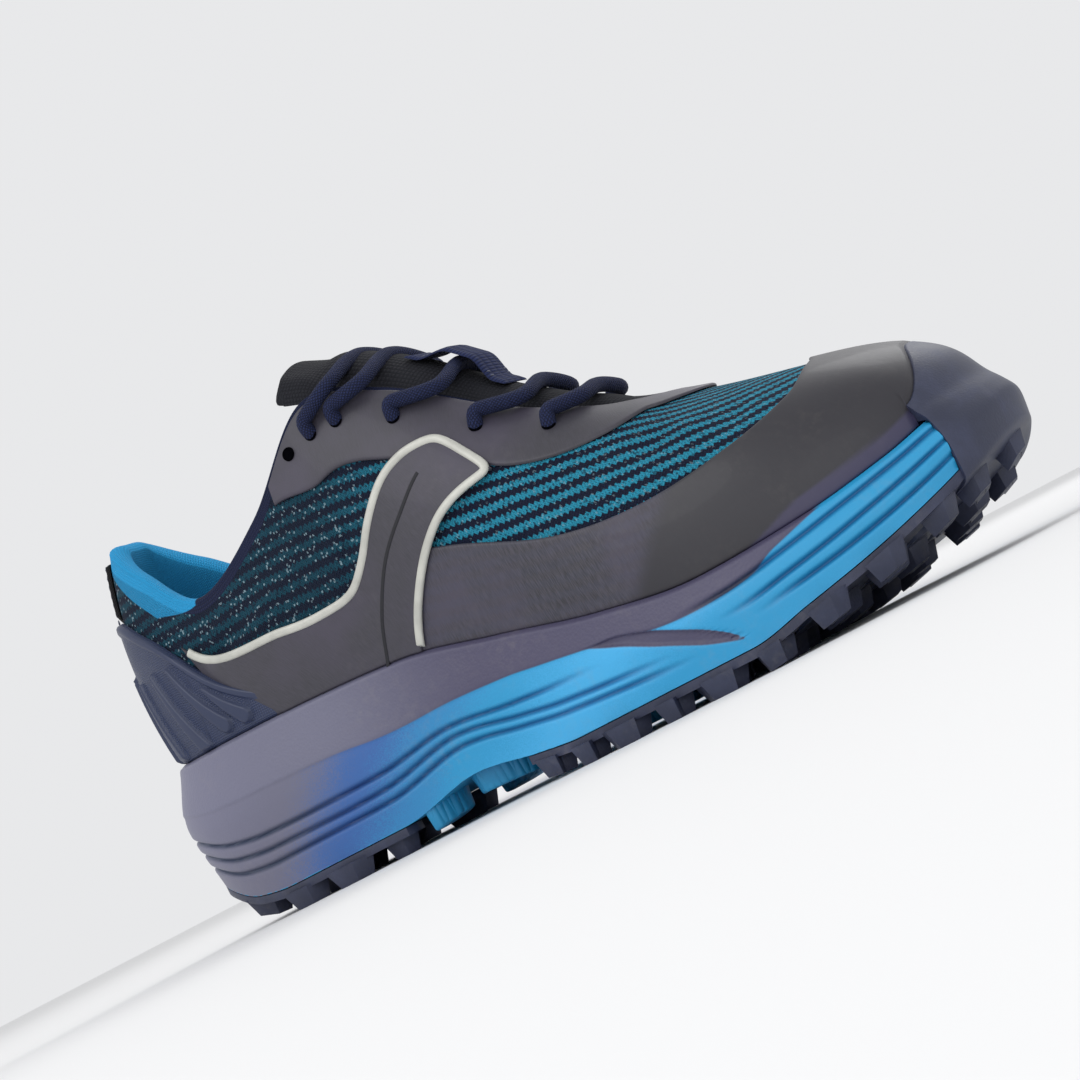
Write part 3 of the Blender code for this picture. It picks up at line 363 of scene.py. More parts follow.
def side_point(u, level, out=0.0):
    u, level = np.broadcast_arrays(np.asarray(u, float), np.asarray(level, float))
    flare = (side_flare(u, level) + out)[..., None]
    point = round_loop(FOOT, u) + plan_normal(u) * flare
    point[..., 2] = mix(tread_height(point[..., 0]), rim_height(u), level)
    return point


def outline(u, flare):
    return round_loop(FOOT, u) + plan_normal(u) * flare


def put(tree, kind, inputs=None, **settings):
    """Add a shader or geometry node, set its options, then its inputs to values or links."""
    node = tree.nodes.new(kind)
    for name, value in settings.items():
        setattr(node, name, value)
    for key, value in (inputs or {}).items():
        socket = node.inputs[key]
        if isinstance(value, bpy.types.NodeSocket):
            tree.links.new(value, socket)
        else:
            socket.default_value = value
    return node


def calc(tree, operation, *values, clamp=False):
    made = put(tree, "ShaderNodeMath", dict(enumerate(values)), operation=operation, use_clamp=clamp)
    return made.outputs[0]


def scaled(tree, vector, factors):
    inputs = {0: vector, 1: factors}
    return put(tree, "ShaderNodeVectorMath", inputs, operation="MULTIPLY").outputs[0]


def noise(tree, vector, scale, detail=3.0, roughness=0.55):
    inputs = {"Vector": vector, "Scale": scale, "Detail": detail, "Roughness": roughness}
    return put(tree, "ShaderNodeTexNoise", inputs).outputs["Fac"]


def ramp(tree, factor, stops):
    """Colours by a factor: stops are (place, colour)."""
    node = put(tree, "ShaderNodeValToRGB", {"Fac": factor})
    band = node.color_ramp
    band.interpolation = "EASE"
    while len(band.elements) < len(stops):
        band.elements.new(0.5)
    for element, (place, colour) in zip(band.elements, stops):
        element.position = place
        element.color = (*colour, 1.0)
    return node.outputs["Color"]


def level_of(tree, value, low, high):
    """0 below low, 1 above high, eased between."""
    inputs = {"Value": value, "From Min": low, "From Max": high}
    return put(tree, "ShaderNodeMapRange", inputs, interpolation_type="SMOOTHSTEP").outputs[0]


def tinted(tree, factor, a, b, mode="MIX"):
    """Colour a turned towards b by a factor."""
    a, b = ((*value, 1.0) if isinstance(value, tuple) else value for value in (a, b))
    inputs = {0: factor, 6: a, 7: b}
    return put(tree, "ShaderNodeMix", inputs, data_type="RGBA", blend_type=mode).outputs[2]


def start_group(name, inputs, outputs):
    """A new shader group with float or vector inputs (name, kind, default) and outputs."""
    group = bpy.data.node_groups.new(name, "ShaderNodeTree")
    for label, kind, default in inputs:
        socket = group.interface.new_socket(label, in_out="INPUT", socket_type=kind)
        if default is not None:
            socket.default_value = default
    for label in outputs:
        group.interface.new_socket(label, in_out="OUTPUT", socket_type="NodeSocketFloat")
    return group, group.nodes.new("NodeGroupInput"), group.nodes.new("NodeGroupOutput")


def grain_group():
    """Leathery grain of moulded foam and film: height, and a slow patchiness."""
    inputs = [("Vector", "NodeSocketVector", None), ("Scale", "NodeSocketFloat", 900.0)]
    group, given, out = start_group("moulded_grain", inputs, ("Height", "Patch"))
    cells = put(group, "ShaderNodeTexVoronoi",
                {"Vector": given.outputs["Vector"], "Scale": given.outputs["Scale"]})
    fine = noise(group, given.outputs["Vector"], calc(group, "MULTIPLY", given.outputs["Scale"], 0.8))
    slow = noise(group, given.outputs["Vector"], 45.0, 4.0)
    group.links.new(calc(group, "MULTIPLY_ADD", fine, 0.7, cells.outputs["Distance"]), out.inputs["Height"])
    group.links.new(slow, out.inputs["Patch"])
    return group


def dust_group():
    """Thin dust and rubbing, patchy over the piece."""
    inputs = [("Vector", "NodeSocketVector", None), ("Amount", "NodeSocketFloat", 0.3)]
    group, given, out = start_group("dust_and_rub", inputs, ("Mask",))
    slow = noise(group, given.outputs["Vector"], 38.0, 6.0, 0.65)
    fine = noise(group, given.outputs["Vector"], 420.0, 4.0, 0.6)
    patches = level_of(group, slow, 0.45, 0.75)
    mask = calc(group, "MULTIPLY", patches, level_of(group, fine, 0.4, 0.7))
    group.links.new(calc(group, "MULTIPLY", mask, given.outputs["Amount"]), out.inputs["Mask"])
    return group


def weave_group():
    """Crossing threads: height from two waves."""
    inputs = [("Vector", "NodeSocketVector", None), ("Along", "NodeSocketFloat", 0.001),
              ("Up", "NodeSocketFloat", 0.001)]
    group, given, out = start_group("crossing_threads", inputs, ("Height",))
    parts = put(group, "ShaderNodeSeparateXYZ", {0: given.outputs["Vector"]})
    x = calc(group, "DIVIDE", parts.outputs["X"], given.outputs["Along"])
    y = calc(group, "DIVIDE", parts.outputs["Y"], given.outputs["Up"])
    first = calc(group, "SINE", calc(group, "MULTIPLY", x, pi))
    second = calc(group, "SINE", calc(group, "MULTIPLY", y, pi))
    product = calc(group, "MULTIPLY", first, second)
    group.links.new(calc(group, "ABSOLUTE", product), out.inputs["Height"])
    return group


def knit_group():
    """Knitted rows with toothed edges, and the small loops that they are made of."""
    inputs = [("Vector", "NodeSocketVector", None), ("Row", "NodeSocketFloat", 0.0047),
              ("Tooth", "NodeSocketFloat", 0.0021), ("Loop", "NodeSocketFloat", 0.0011)]
    group, given, out = start_group("knit_rows", inputs, ("Rows", "Height", "Fleck"))
    vector = given.outputs["Vector"]
    parts = put(group, "ShaderNodeSeparateXYZ", {0: vector})
    sway = calc(group, "MULTIPLY_ADD", noise(group, vector, 60.0, 1.0), 0.0016, parts.outputs["Y"])
    row = calc(group, "DIVIDE", sway, given.outputs["Row"])
    tooth = calc(group, "FRACT", calc(group, "DIVIDE", parts.outputs["X"], given.outputs["Tooth"]))
    zigzag = calc(group, "ABSOLUTE", calc(group, "SUBTRACT", tooth, 0.5))
    share = calc(group, "FRACT", calc(group, "MULTIPLY_ADD", zigzag, 0.42, row))
    ridge = calc(group, "ABSOLUTE", calc(group, "SUBTRACT", share, 0.5))
    group.links.new(level_of(group, ridge, 0.21, 0.29), out.inputs["Rows"])
    loop_x = calc(group, "DIVIDE", parts.outputs["X"], given.outputs["Loop"])
    loop_y = calc(group, "DIVIDE", parts.outputs["Y"], given.outputs["Loop"])
    slant = calc(group, "ABSOLUTE", calc(group, "SUBTRACT", calc(group, "FRACT", loop_x), 0.5))
    lean = calc(group, "MULTIPLY_ADD", slant, 1.6, loop_y)
    legs = calc(group, "SINE", calc(group, "MULTIPLY", lean, 2 * pi))
    dips = calc(group, "SINE", calc(group, "MULTIPLY", loop_x, 2 * pi))
    height = calc(group, "MULTIPLY_ADD", dips, 0.45, calc(group, "MULTIPLY", legs, 0.8))
    relief = calc(group, "MULTIPLY_ADD", level_of(group, ridge, 0.15, 0.35), 0.9, height)
    group.links.new(relief, out.inputs["Height"])
    cell = put(group, "ShaderNodeVectorMath", {0: scaled(group, vector, (1500.0, 1500.0, 0.0))},
               operation="FLOOR")
    spots = put(group, "ShaderNodeTexWhiteNoise", {"Vector": cell.outputs[0]})
    group.links.new(spots.outputs["Value"], out.inputs["Fleck"])
    return group


GROUPS = {}


def group_node(tree, name, vector, **values):
    """Place a shared group, made when it is first asked for."""
    makers = {"grain": grain_group, "dust": dust_group, "weave": weave_group, "knit": knit_group}
    if name not in GROUPS:
        GROUPS[name] = makers[name]()
    node = put(tree, "ShaderNodeGroup", node_tree=GROUPS[name])
    tree.links.new(vector, node.inputs["Vector"])
    for label, value in values.items():
        node.inputs[label].default_value = value
    return node.outputs


def start_material(name):
    made = bpy.data.materials.new(name)
    made.use_nodes = True
    return made, made.node_tree, made.node_tree.nodes["Principled BSDF"]


def place_of(tree):
    """Where a point is on the shoe, in metres."""
    return tree.nodes.new("ShaderNodeTexCoord").outputs["Object"]


def skin_of(tree):
    """Metres along and up the piece's own surface."""
    return put(tree, "ShaderNodeUVMap", uv_map="skin").outputs["UV"]


def bump(tree, shader, height, distance, strength=1.0):
    inputs = {"Height": height, "Distance": distance, "Strength": strength}
    made = put(tree, "ShaderNodeBump", inputs)
    tree.links.new(made.outputs["Normal"], shader.inputs["Normal"])


def finish(tree, shader, colour, roughness, **constants):
    """Link or set the shader's colour and roughness, and set its plain constants."""
    for name, value in (("Base Color", colour), ("Roughness", roughness)):
        if isinstance(value, bpy.types.NodeSocket):
            tree.links.new(value, shader.inputs[name])
        else:
            shader.inputs[name].default_value = (*value, 1.0) if isinstance(value, tuple) else value
    for name, value in constants.items():
        shader.inputs[name.replace("_", " ")].default_value = value


DUST = (0.32, 0.29, 0.25)


def dusty(tree, colour, place, amount):
    """A colour under thin dust."""
    return tinted(tree, group_node(tree, "dust", place, Amount=amount)["Mask"], colour, DUST)


def mark(tree, name):
    return put(tree, "ShaderNodeAttribute", attribute_name=name).outputs["Fac"]


def rgb(colour, factor=1.0):
    """A colour as a plain tuple, darker or lighter by a factor."""
    return tuple(factor * channel for channel in colour[:3])


def patch_mask(tree):
    """1 on the lining that rolls over the collar, from the mark's share of height."""
    return level_of(tree, mark(tree, "patch"), -0.003, 0.003)


def knit_material(colours):
    made, tree, shader = start_material("knit")
    knit = group_node(tree, "knit", skin_of(tree))
    x = put(tree, "ShaderNodeSeparateXYZ", {0: place_of(tree)}).outputs["X"]
    front = level_of(tree, x, -0.045, 0.012)
    teal = tinted(tree, front, rgb(colours.knit_teal), rgb(colours.knit_cyan))
    ground = tinted(tree, front, (0.006, 0.014, 0.040), rgb(colours.knit_navy))
    yarn = tinted(tree, knit["Rows"], ground, teal)
    light = calc(tree, "MULTIPLY", calc(tree, "GREATER_THAN", knit["Fleck"], 0.945),
                 calc(tree, "SUBTRACT", 0.60, calc(tree, "MULTIPLY", front, 0.30)))
    yarn = tinted(tree, light, yarn, (0.42, 0.60, 0.68))
    dark = calc(tree, "LESS_THAN", knit["Fleck"], 0.14)
    yarn = tinted(tree, calc(tree, "MULTIPLY", dark, 0.6), yarn, (0.004, 0.008, 0.03))
    # Painted shade: the knit's low places, between its loops and rows, are darkened by the relief's height.
    shade = level_of(tree, knit["Height"], -1.0, 0.4)
    yarn = tinted(tree, calc(tree, "SUBTRACT", 1.0, shade), yarn, (0.004, 0.010, 0.025))
    yarn = tinted(tree, patch_mask(tree), yarn, rgb(colours.lining))
    finish(tree, shader, yarn, 0.85, Specular_IOR_Level=0.25)
    bump(tree, shader, knit["Height"], 0.00035, 0.9)
    return made


def cloth_material(name, colour, along, up, roughness=0.9, depth=0.0003, patch=None):
    """Plain woven or ribbed cloth on the skin's own lengths, with painted shade between its threads."""
    made, tree, shader = start_material(name)
    weave = group_node(tree, "weave", skin_of(tree), Along=along, Up=up)
    slow = noise(tree, place_of(tree), 55.0, 3.0)
    # Painted shade: the cloth darkens to 0.45 of its colour where the weave's relief is low.
    raised = calc(tree, "MULTIPLY", weave["Height"], 0.9, clamp=True)
    face = tinted(tree, raised, rgb(colour, 0.45), rgb(colour))
    face = tinted(tree, level_of(tree, slow, 0.35, 0.85), face, rgb(colour, 0.7))
    if patch:
        face = tinted(tree, patch_mask(tree), face, rgb(patch))
    finish(tree, shader, face, roughness, Specular_IOR_Level=0.25)
    bump(tree, shader, weave["Height"], depth, 0.9)
    return made


def film_material(name, colour, streaks=0.5, roughness=0.45, show=0.0):
    """Welded film: fine upright streaks, a soft satin, and the knit's rows faintly under it."""
    made, tree, shader = start_material(name)
    place, skin = place_of(tree), skin_of(tree)
    brushed = noise(tree, scaled(tree, skin, (2600.0, 260.0, 1.0)), 1.0, 3.0)
    slow = noise(tree, place, 34.0, 4.0)
    fibres = noise(tree, scaled(tree, skin, (5200.0, 1400.0, 1.0)), 1.0, 2.0)
    face = tinted(tree, level_of(tree, brushed, 0.3, 0.7), rgb(colour, 1.0 - streaks * 0.5),
                  rgb(colour, 1.0 + streaks * 0.6))
    face = tinted(tree, level_of(tree, slow, 0.35, 0.8), face, (0.055, 0.048, 0.075))
    if show > 0:
        knit = group_node(tree, "knit", skin)
        ghost = calc(tree, "MULTIPLY", knit["Rows"], show)
        face = tinted(tree, ghost, face, (0.035, 0.065, 0.16))
    front = mark(tree, "toe")
    face = tinted(tree, front, face, rgb(colour, 0.55))
    face = tinted(tree, mark(tree, "strip"), face, (0.040, 0.036, 0.080))
    face = dusty(tree, face, place, 0.05)
    rough = calc(tree, "MULTIPLY_ADD", brushed, 0.16, calc(tree, "MULTIPLY_ADD", front, -0.08, roughness))
    finish(tree, shader, face, rough, Coat_Weight=0.05)
    relief = calc(tree, "MULTIPLY_ADD", fibres, 0.6, brushed)
    relief = calc(tree, "MULTIPLY", relief, calc(tree, "MULTIPLY_ADD", front, -0.75, 1.0))
    bump(tree, shader, relief, 0.00008, 0.7)
    return made


def piping_material(colour):
    made, tree, shader = start_material("silver_piping")
    place = place_of(tree)
    beads = put(tree, "ShaderNodeTexVoronoi", {"Vector": place, "Scale": 3800.0}).outputs["Distance"]
    slow = noise(tree, place, 120.0)
    face = tinted(tree, level_of(tree, slow, 0.3, 0.8), rgb(colour), rgb(colour, 0.78))
    finish(tree, shader, face, 0.38, Metallic=0.15)
    bump(tree, shader, beads, 0.00006, 0.6)
    return made


def foam_material(colours):
    """Moulded foam: lavender navy at the heel, blue, then cyan, with a darker band at the rim and painted
    shade in its grooves.
    """
    made, tree, shader = start_material("moulded_foam")
    place = place_of(tree)
    x = put(tree, "ShaderNodeSeparateXYZ", {0: place}).outputs["X"]
    level = mark(tree, "level")
    share = calc(tree, "MULTIPLY_ADD", x, 1.0 / LENGTH, 0.5)
    cloudy = noise(tree, place, 26.0, 3.0)
    fade = calc(tree, "MULTIPLY_ADD", calc(tree, "SUBTRACT", 0.5, level), 0.16, share)
    fade = calc(tree, "MULTIPLY_ADD", calc(tree, "SUBTRACT", cloudy, 0.5), 0.06, fade)
    spray = noise(tree, place, 2600.0, 1.0)
    fade = calc(tree, "MULTIPLY_ADD", calc(tree, "SUBTRACT", spray, 0.5), 0.10, fade)
    heel, blue, cyan = rgb(colours.foam_heel), rgb(colours.foam_blue), rgb(colours.foam_cyan)
    light = tuple(min(1.0, 1.25 * c + 0.03) for c in cyan)
    body = ramp(tree, fade, [(0.0, heel), (0.20, rgb(heel, 0.80)), (0.31, blue),
                             (0.40, tuple(0.6 * a + 0.4 * b for a, b in zip(cyan, blue))),
                             (0.47, cyan), (0.60, light), (0.75, cyan), (1.0, cyan)])
    under = level_of(tree, mark(tree, "under"), 0.3, 0.7)
    body = tinted(tree, under, body, rgb(cyan, 0.8))
    band = level_of(tree, mark(tree, "band"), BAND_MARK - 0.0003, BAND_MARK + 0.0003)
    rim = ramp(tree, share, [(0.0, heel), (0.25, rgb(heel, 0.85)),
                             (0.48, rgb(colours.foam_rim)), (1.0, rgb(colours.foam_rim))])
    body = tinted(tree, band, body, rim)
    # Painted shade: the grooves in the foam's side are darkened by a multiply over their mark.
    body = tinted(tree, mark(tree, "groove"), body, (0.22, 0.34, 0.46), "MULTIPLY")
    body = dusty(tree, body, place, 0.12)
    grain = group_node(tree, "grain", place, Scale=1100.0)
    skin_grain = calc(tree, "MULTIPLY_ADD", band, 0.7, 0.3)
    lattice = group_node(tree, "weave", place, Along=0.0022, Up=0.0030)
    blocks = calc(tree, "MULTIPLY", mark(tree, "block"), lattice["Height"])
    height = calc(tree, "MULTIPLY_ADD", blocks, 6.0, calc(tree, "MULTIPLY", grain["Height"], skin_grain))
    rough = calc(tree, "MULTIPLY_ADD", grain["Patch"], 0.18, 0.42)
    finish(tree, shader, body, rough, Coat_Weight=0.08, Coat_Roughness=0.4)
    bump(tree, shader, height, 0.00009, 0.8)
    return made


def rubber_material(colour):
    made, tree, shader = start_material("moulded_rubber")
    place = place_of(tree)
    grain = group_node(tree, "grain", place, Scale=1500.0)
    worn = noise(tree, place, 85.0, 5.0, 0.6)
    light = tuple(min(1.0, channel + 0.004) for channel in rgb(colour, 1.55))
    face = tinted(tree, level_of(tree, worn, 0.35, 0.75), rgb(colour), light)
    face = dusty(tree, face, place, 0.16)
    rough = calc(tree, "MULTIPLY_ADD", worn, 0.22, 0.40)
    finish(tree, shader, face, rough)
    bump(tree, shader, grain["Height"], 0.00005, 0.7)
    return made


def counter_material(colour):
    """Moulded counter: a woven relief on the flats, smooth on ribs and border, with a painted highlight on
    the relief's raised threads.
    """
    made, tree, shader = start_material("moulded_counter")
    weave = group_node(tree, "weave", skin_of(tree), Along=0.00085, Up=0.00075)
    flat = calc(tree, "SUBTRACT", 1.0, level_of(tree, mark(tree, "rib"), 0.15, 0.5))
    height = calc(tree, "MULTIPLY", weave["Height"], flat)
    # Painted highlight: the weave's raised threads are lit up to 1.7 times the counter's colour.
    raised = calc(tree, "MULTIPLY", height, 0.55, clamp=True)
    face = tinted(tree, raised, rgb(colour), rgb(colour, 1.7))
    worn = noise(tree, place_of(tree), 90.0, 4.0)
    rough = calc(tree, "MULTIPLY_ADD", worn, 0.18, 0.36)
    finish(tree, shader, face, rough, Coat_Weight=0.06)
    bump(tree, shader, height, 0.00022, 0.9)
    return made


def lace_material(colour):
    """Braided cord on its own lengths: strands that cross on the slant, with painted shade between them and
    a painted highlight on their crowns.
    """
    made, tree, shader = start_material("braided_lace")
    parts = put(tree, "ShaderNodeSeparateXYZ", {0: skin_of(tree)})
    plus = calc(tree, "ADD", parts.outputs["X"], parts.outputs["Y"])
    minus = calc(tree, "SUBTRACT", parts.outputs["X"], parts.outputs["Y"])
    slanted = put(tree, "ShaderNodeCombineXYZ", {"X": plus, "Y": minus}).outputs[0]
    weave = group_node(tree, "weave", slanted, Along=0.0011, Up=0.0011)
    # Painted shade and highlight: the strands darken where the braid is low and lighten where it is high.
    face = tinted(tree, weave["Height"], rgb(colour, 0.3), rgb(colour, 1.35))
    fuzz = noise(tree, place_of(tree), 2600.0, 2.0)
    face = tinted(tree, level_of(tree, fuzz, 0.55, 0.8), face, rgb(colour, 1.9))
    finish(tree, shader, face, 0.85, Specular_IOR_Level=0.3)
    bump(tree, shader, weave["Height"], 0.00045, 1.0)
    return made


def plain_material(name, colour, roughness, **constants):
    made, tree, shader = start_material(name)
    speck = noise(tree, place_of(tree), 900.0, 3.0)
    face = tinted(tree, level_of(tree, speck, 0.35, 0.75), rgb(colour), rgb(colour, 0.7))
    finish(tree, shader, face, roughness, **constants)
    bump(tree, shader, speck, 0.00004, 0.5)
    return made


def floor_material():
    made, tree, shader = start_material("studio_floor")
    finish(tree, shader, (0.80, 0.80, 0.80), 0.95, Specular_IOR_Level=0.1)
    return made


MATERIALS = {}


def finish_for(name):
    """The material of that name, made on first use from the scene's colours."""
    if name in MATERIALS:
        return MATERIALS[name]
    c = bpy.context.scene.shoe_colours
    makers = {
        "knit": lambda: knit_material(c),
        "foam": lambda: foam_material(c),
        "rubber": lambda: rubber_material(c.rubber),
        "film": lambda: film_material("welded_film", c.film, 0.9, 0.50, 0.06),
        "side_film": lambda: film_material("side_film", c.film, 0.35, 0.46),
        "eyestay": lambda: film_material("eyestay_film", rgb(c.film, 0.9), 0.30, 0.42),
        "piping": lambda: piping_material(c.piping),
        "counter": lambda: counter_material(c.counter),
        "tape": lambda: cloth_material("ribbed_tape", (0.012, 0.012, 0.014), 0.0032, 0.0009, 0.75, 0.0004),
        "tongue": lambda: cloth_material("tongue_mesh", (0.020, 0.021, 0.028), 0.0013, 0.0013),
        "lining": lambda: cloth_material("cyan_lining", c.lining, 0.0007, 0.0007, 0.92, 0.00012),
        "binding": lambda: cloth_material("rolled_binding", rgb(c.lace, 0.8), 0.0009, 0.0011, 0.85,
                                          0.0003, c.lining),
        "lace": lambda: lace_material(c.lace),
        "thread": lambda: plain_material("thread", (0.10, 0.11, 0.16), 0.7),
        "seam": lambda: plain_material("pressed_seam", (0.010, 0.010, 0.015), 0.7),
        "webbing": lambda: cloth_material("keeper_webbing", rgb(c.lace, 1.3), 0.0040, 0.0011, 0.85,
                                          0.0004),
        # Painted shade: near black with no gloss, for the dark inside of the eyelets.
        "hole_shade": lambda: plain_material("eyelet_shade", (0.002, 0.002, 0.003), 1.0,
                                       Specular_IOR_Level=0.0),
        "floor": floor_material,
    }
    MATERIALS[name] = makers[name]()
    return MATERIALS[name]


CURVED_GAP = 0.0005
TOE_GAP = 0.0009
LAYER_GAP = 0.0018        # where one film lies over another
TUCKED_GAP = 0.0002       # where a film or piping runs in under the counter
PIPING_THICK = 0.0010
PIPING_START = 0.03       # share of the side film's edge where the piping starts, under the counter
PIPING_FOOT = 0.0020      # from the rim up to the piping's front end
SEAM_THICK = 0.0002
RIBBON_SINK = 0.0004      # how far piping and seams sink into the film
FILM = 0.0008
TAPE = 0.0014
TAPE_WIDTH = 0.024
COUNTER = 0.0018
COUNTER_RIB = 0.0015
COUNTER_SPAN = 3.6
COUNTER_TOP = (0.775, 0.825, 0.745, 0.565, 0.430)
TONGUE_EDGE = 0.0035
TONGUE_PAD = 0.0085
TONGUE_CROWN = 0.0100
TONGUE_FALL = 0.0110
TONGUE_ROOT = 0.0070
TONGUE_CLEAR = 0.0008
BUMPER_SPAN = 4 / 3
BUMPER_TOP = 0.40
LUG_DRAFT = 0.70
RUBBER_BEVEL = 0.00035
FOAM_BEVEL = 0.0009
BLOCK_DRAFT = 0.88
SIPE_DEPTH = 0.0009
EDGE_ANGLE = 38           # degrees from which a moulded edge is sharp
LACE = 0.0046
LACE_LEAN = 0.4
LACE_RISE = 0.0005
LACE_SETTLE = 0.0030      # how far the lace presses down on the tongue's padding
EYESTAY_START = 13 / 3
EYESTAY_WIDTH = 0.025
EYESTAY_SECTIONS = (EYESTAY_START, 5.0, 6.9, 8.9)
EYESTAY_SHARES = (0.30, 1.00, 1.00, 0.52)
EYELETS = (5.05, 5.40, 6.05, 6.75, 7.45)
EYELET_INSET = 0.0075
RAND_START = 11 / 3
RAND_TOP = (0.37, 0.40, 0.32, 0.31, 0.34, 0.40, 0.46, 0.57, 0.65)
ROUND = 480               # columns round the shoe in fine meshes
WELD = 0.000001

Sheet = namedtuple("Sheet", "points skin marks slot")


def lengths(points):
    """Metres along the middle row and up each column, for cloth and bump patterns."""
    rows, columns = points.shape[:2]
    along = run_along(points[rows // 2])
    up = np.cumsum(np.linalg.norm(np.diff(points, axis=0), axis=2), axis=0)
    up = np.concatenate((np.zeros((1, columns)), up))
    return np.stack((np.broadcast_to(along, (rows, columns)), up), axis=-1)


def sheet(points, slot=0, skin=None, **marks):
    """One grid of points (rows, columns) of a mesh, with its pattern lengths and marks."""
    return Sheet(points, lengths(points) if skin is None else skin, marks, slot)


def quads_of(rows, columns, start=0):
    """Corner numbers of the quads in a grid of points."""
    index = np.arange(rows * columns).reshape(rows, columns) + start
    corners = (index[:-1, :-1], index[:-1, 1:], index[1:, 1:], index[1:, :-1])
    return np.stack(corners, axis=-1).reshape(-1, 4)


def face_out(mesh, weld=0.0):
    """Turn a mesh's faces outward, after welding points that lie together."""
    bm = bmesh.new()
    bm.from_mesh(mesh)
    if weld:
        bmesh.ops.remove_doubles(bm, verts=bm.verts, dist=weld)
    bmesh.ops.recalc_face_normals(bm, faces=bm.faces)
    bm.to_mesh(mesh)
    bm.free()


def new_object(name, data):
    made = bpy.data.objects.new(name, data)
    bpy.context.scene.collection.objects.link(made)
    return made


def as_mesh(made):
    """The plain mesh that an object's modifiers give."""
    bpy.context.view_layer.update()
    return bpy.data.meshes.new_from_object(made.evaluated_get(bpy.context.evaluated_depsgraph_get()))


def put_mark(mesh, label, values):
    """Store a value for each point of a mesh."""
    mesh.attributes.new(label, "FLOAT", "POINT").data.foreach_set("value", values.astype("f"))


def build(name, sheets, finishes, replaces=(), sharp=45):
    """Weld grids of points into one closed object that rides with the shoe."""
    names = sorted({label for one in sheets for label in one.marks})
    points, faces, skins, slots = [], [], [], []
    marks = {label: [] for label in names}
    start = 0
    for one in sheets:
        rows, columns = one.points.shape[:2]
        quads = quads_of(rows, columns)
        points.append(one.points.reshape(-1, 3))
        faces.append(quads + start)
        skins.append(one.skin.reshape(-1, 2)[quads.ravel()])
        slots.append(np.full(len(quads), one.slot))
        for label in names:
            value = one.marks.get(label, 0.0)
            marks[label].append(np.broadcast_to(value, (rows, columns)).ravel())
        start += rows * columns
    mesh = bpy.data.meshes.new(name)
    mesh.from_pydata(np.concatenate(points).tolist(), [], np.concatenate(faces).tolist())
    mesh.uv_layers.new(name="skin").data.foreach_set("uv", np.concatenate(skins).ravel().astype("f"))
    mesh.polygons.foreach_set("material_index", np.concatenate(slots).astype("i"))
    for label in names:
        put_mark(mesh, label, np.concatenate(marks[label]))
    return settle(name, mesh, finishes, replaces, sharp)


def settle(name, mesh, finishes, replaces=(), sharp=45):
    """Weld a mesh, point its faces out, shade it and hang it on the shoe."""
    face_out(mesh, WELD)
    mesh.shade_smooth()
    mesh.set_sharp_from_angle(angle=radians(sharp))
    for finish_name in finishes:
        mesh.materials.append(finish_for(finish_name))
    made = new_object(name, mesh)
    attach(made, "root")
    if replaces:
        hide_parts(*replaces)
    return made


def on_side(u, side):
    """A section's place on the lateral side (-1), or its mirror on the medial side (1)."""
    return u if side < 0 else SPANS - u


def round_columns():
    return np.linspace(0.0, SPANS, ROUND + 1)


def edged(count, border=0.05):
    """Shares from 0 to 1, closer together near both ends."""
    near = border * np.array([0.0, 0.1, 0.25, 0.5])
    return np.concatenate((near, np.linspace(border, 1 - border, count), 1 - near[::-1]))


def rounding(points, radius):
    """0 on the border of a grid, 1 from a radius inwards, as a quarter circle."""
    def reach(axis):
        steps = np.linalg.norm(np.diff(points, axis=axis), axis=2)
        start = np.zeros_like(np.take(steps, [0], axis=axis))
        run = np.concatenate((start, np.cumsum(steps, axis=axis)), axis=axis)
        return np.minimum(run, np.take(run, [-1], axis=axis) - run)
    share = np.clip(np.minimum(reach(0), reach(1)) / radius, 0.0, 1.0)
    return np.sqrt(1 - (1 - share) ** 2)


def skin_film(name, u, v, thick, finishes, slot, replaces=(), gap=CURVED_GAP, radius=0.0009,
              raised=0.0, **marks):
    """A thin piece on the upper over a grid of (u, v), rounded down at its edges."""
    high = rounding(skin_point(u, v, gap), radius)
    outer = skin_point(u, v, gap + (thick + raised) * high)
    inner = skin_point(u, v, gap)
    skin = lengths(outer)
    return build(name, [sheet(outer, 0, skin, **marks), sheet(inner, 0, skin)], finishes, replaces)


def lid(ring, height, count=8, **marks):
    """A surface from a ring round the shoe in to its middle line."""
    middle = (ring + ring[::-1]) / 2
    points = mix(ring, middle, np.linspace(0.0, 1.0, count + 1)[:, None, None])
    points[1:, :, 2] = height(points[1:, :, 0])
    return sheet(points, **marks)


def refined(rows, steps):
    """A smooth curve through given rows of points, with more rows between them."""
    rows = np.asarray(rows)
    padded = np.concatenate((2 * rows[:1] - rows[1:2], rows, 2 * rows[-1:] - rows[-2:-1]))
    made = []
    for i in range(len(rows) - 1):
        for t in np.arange(steps) / steps:
            made.append(open_curve(*padded[i:i + 4], t))
    return np.array(made + [rows[-1]])


def refined_grid(grid, steps):
    return refined(refined(grid, steps).swapaxes(0, 1), steps).swapaxes(0, 1)


def eased(grid, first, rounds):
    """Rows from the first given one on, each drawn towards its neighbours."""
    grid = grid.copy()
    for _ in range(rounds):
        grid[first:-1] = (grid[first - 1:-2] + 2 * grid[first:-1] + grid[first + 1:]) / 4
    return grid


def strip(first, second, inside=None, bulge=0.0, count=6):
    """A rounded edge between two borders, swelling away from the inside."""
    shares = np.linspace(0.0, 1.0, count + 1)[:, None, None]
    points = mix(first, second, shares)
    if inside is not None:
        away = unit((first + second) / 2 - inside)
        ends = np.minimum(np.arange(len(first)), np.arange(len(first))[::-1])
        fade = np.minimum(ends / 4, 1.0)[None, :, None]
        points = points + away * bulge * np.sin(pi * shares) * fade
    return sheet(points)


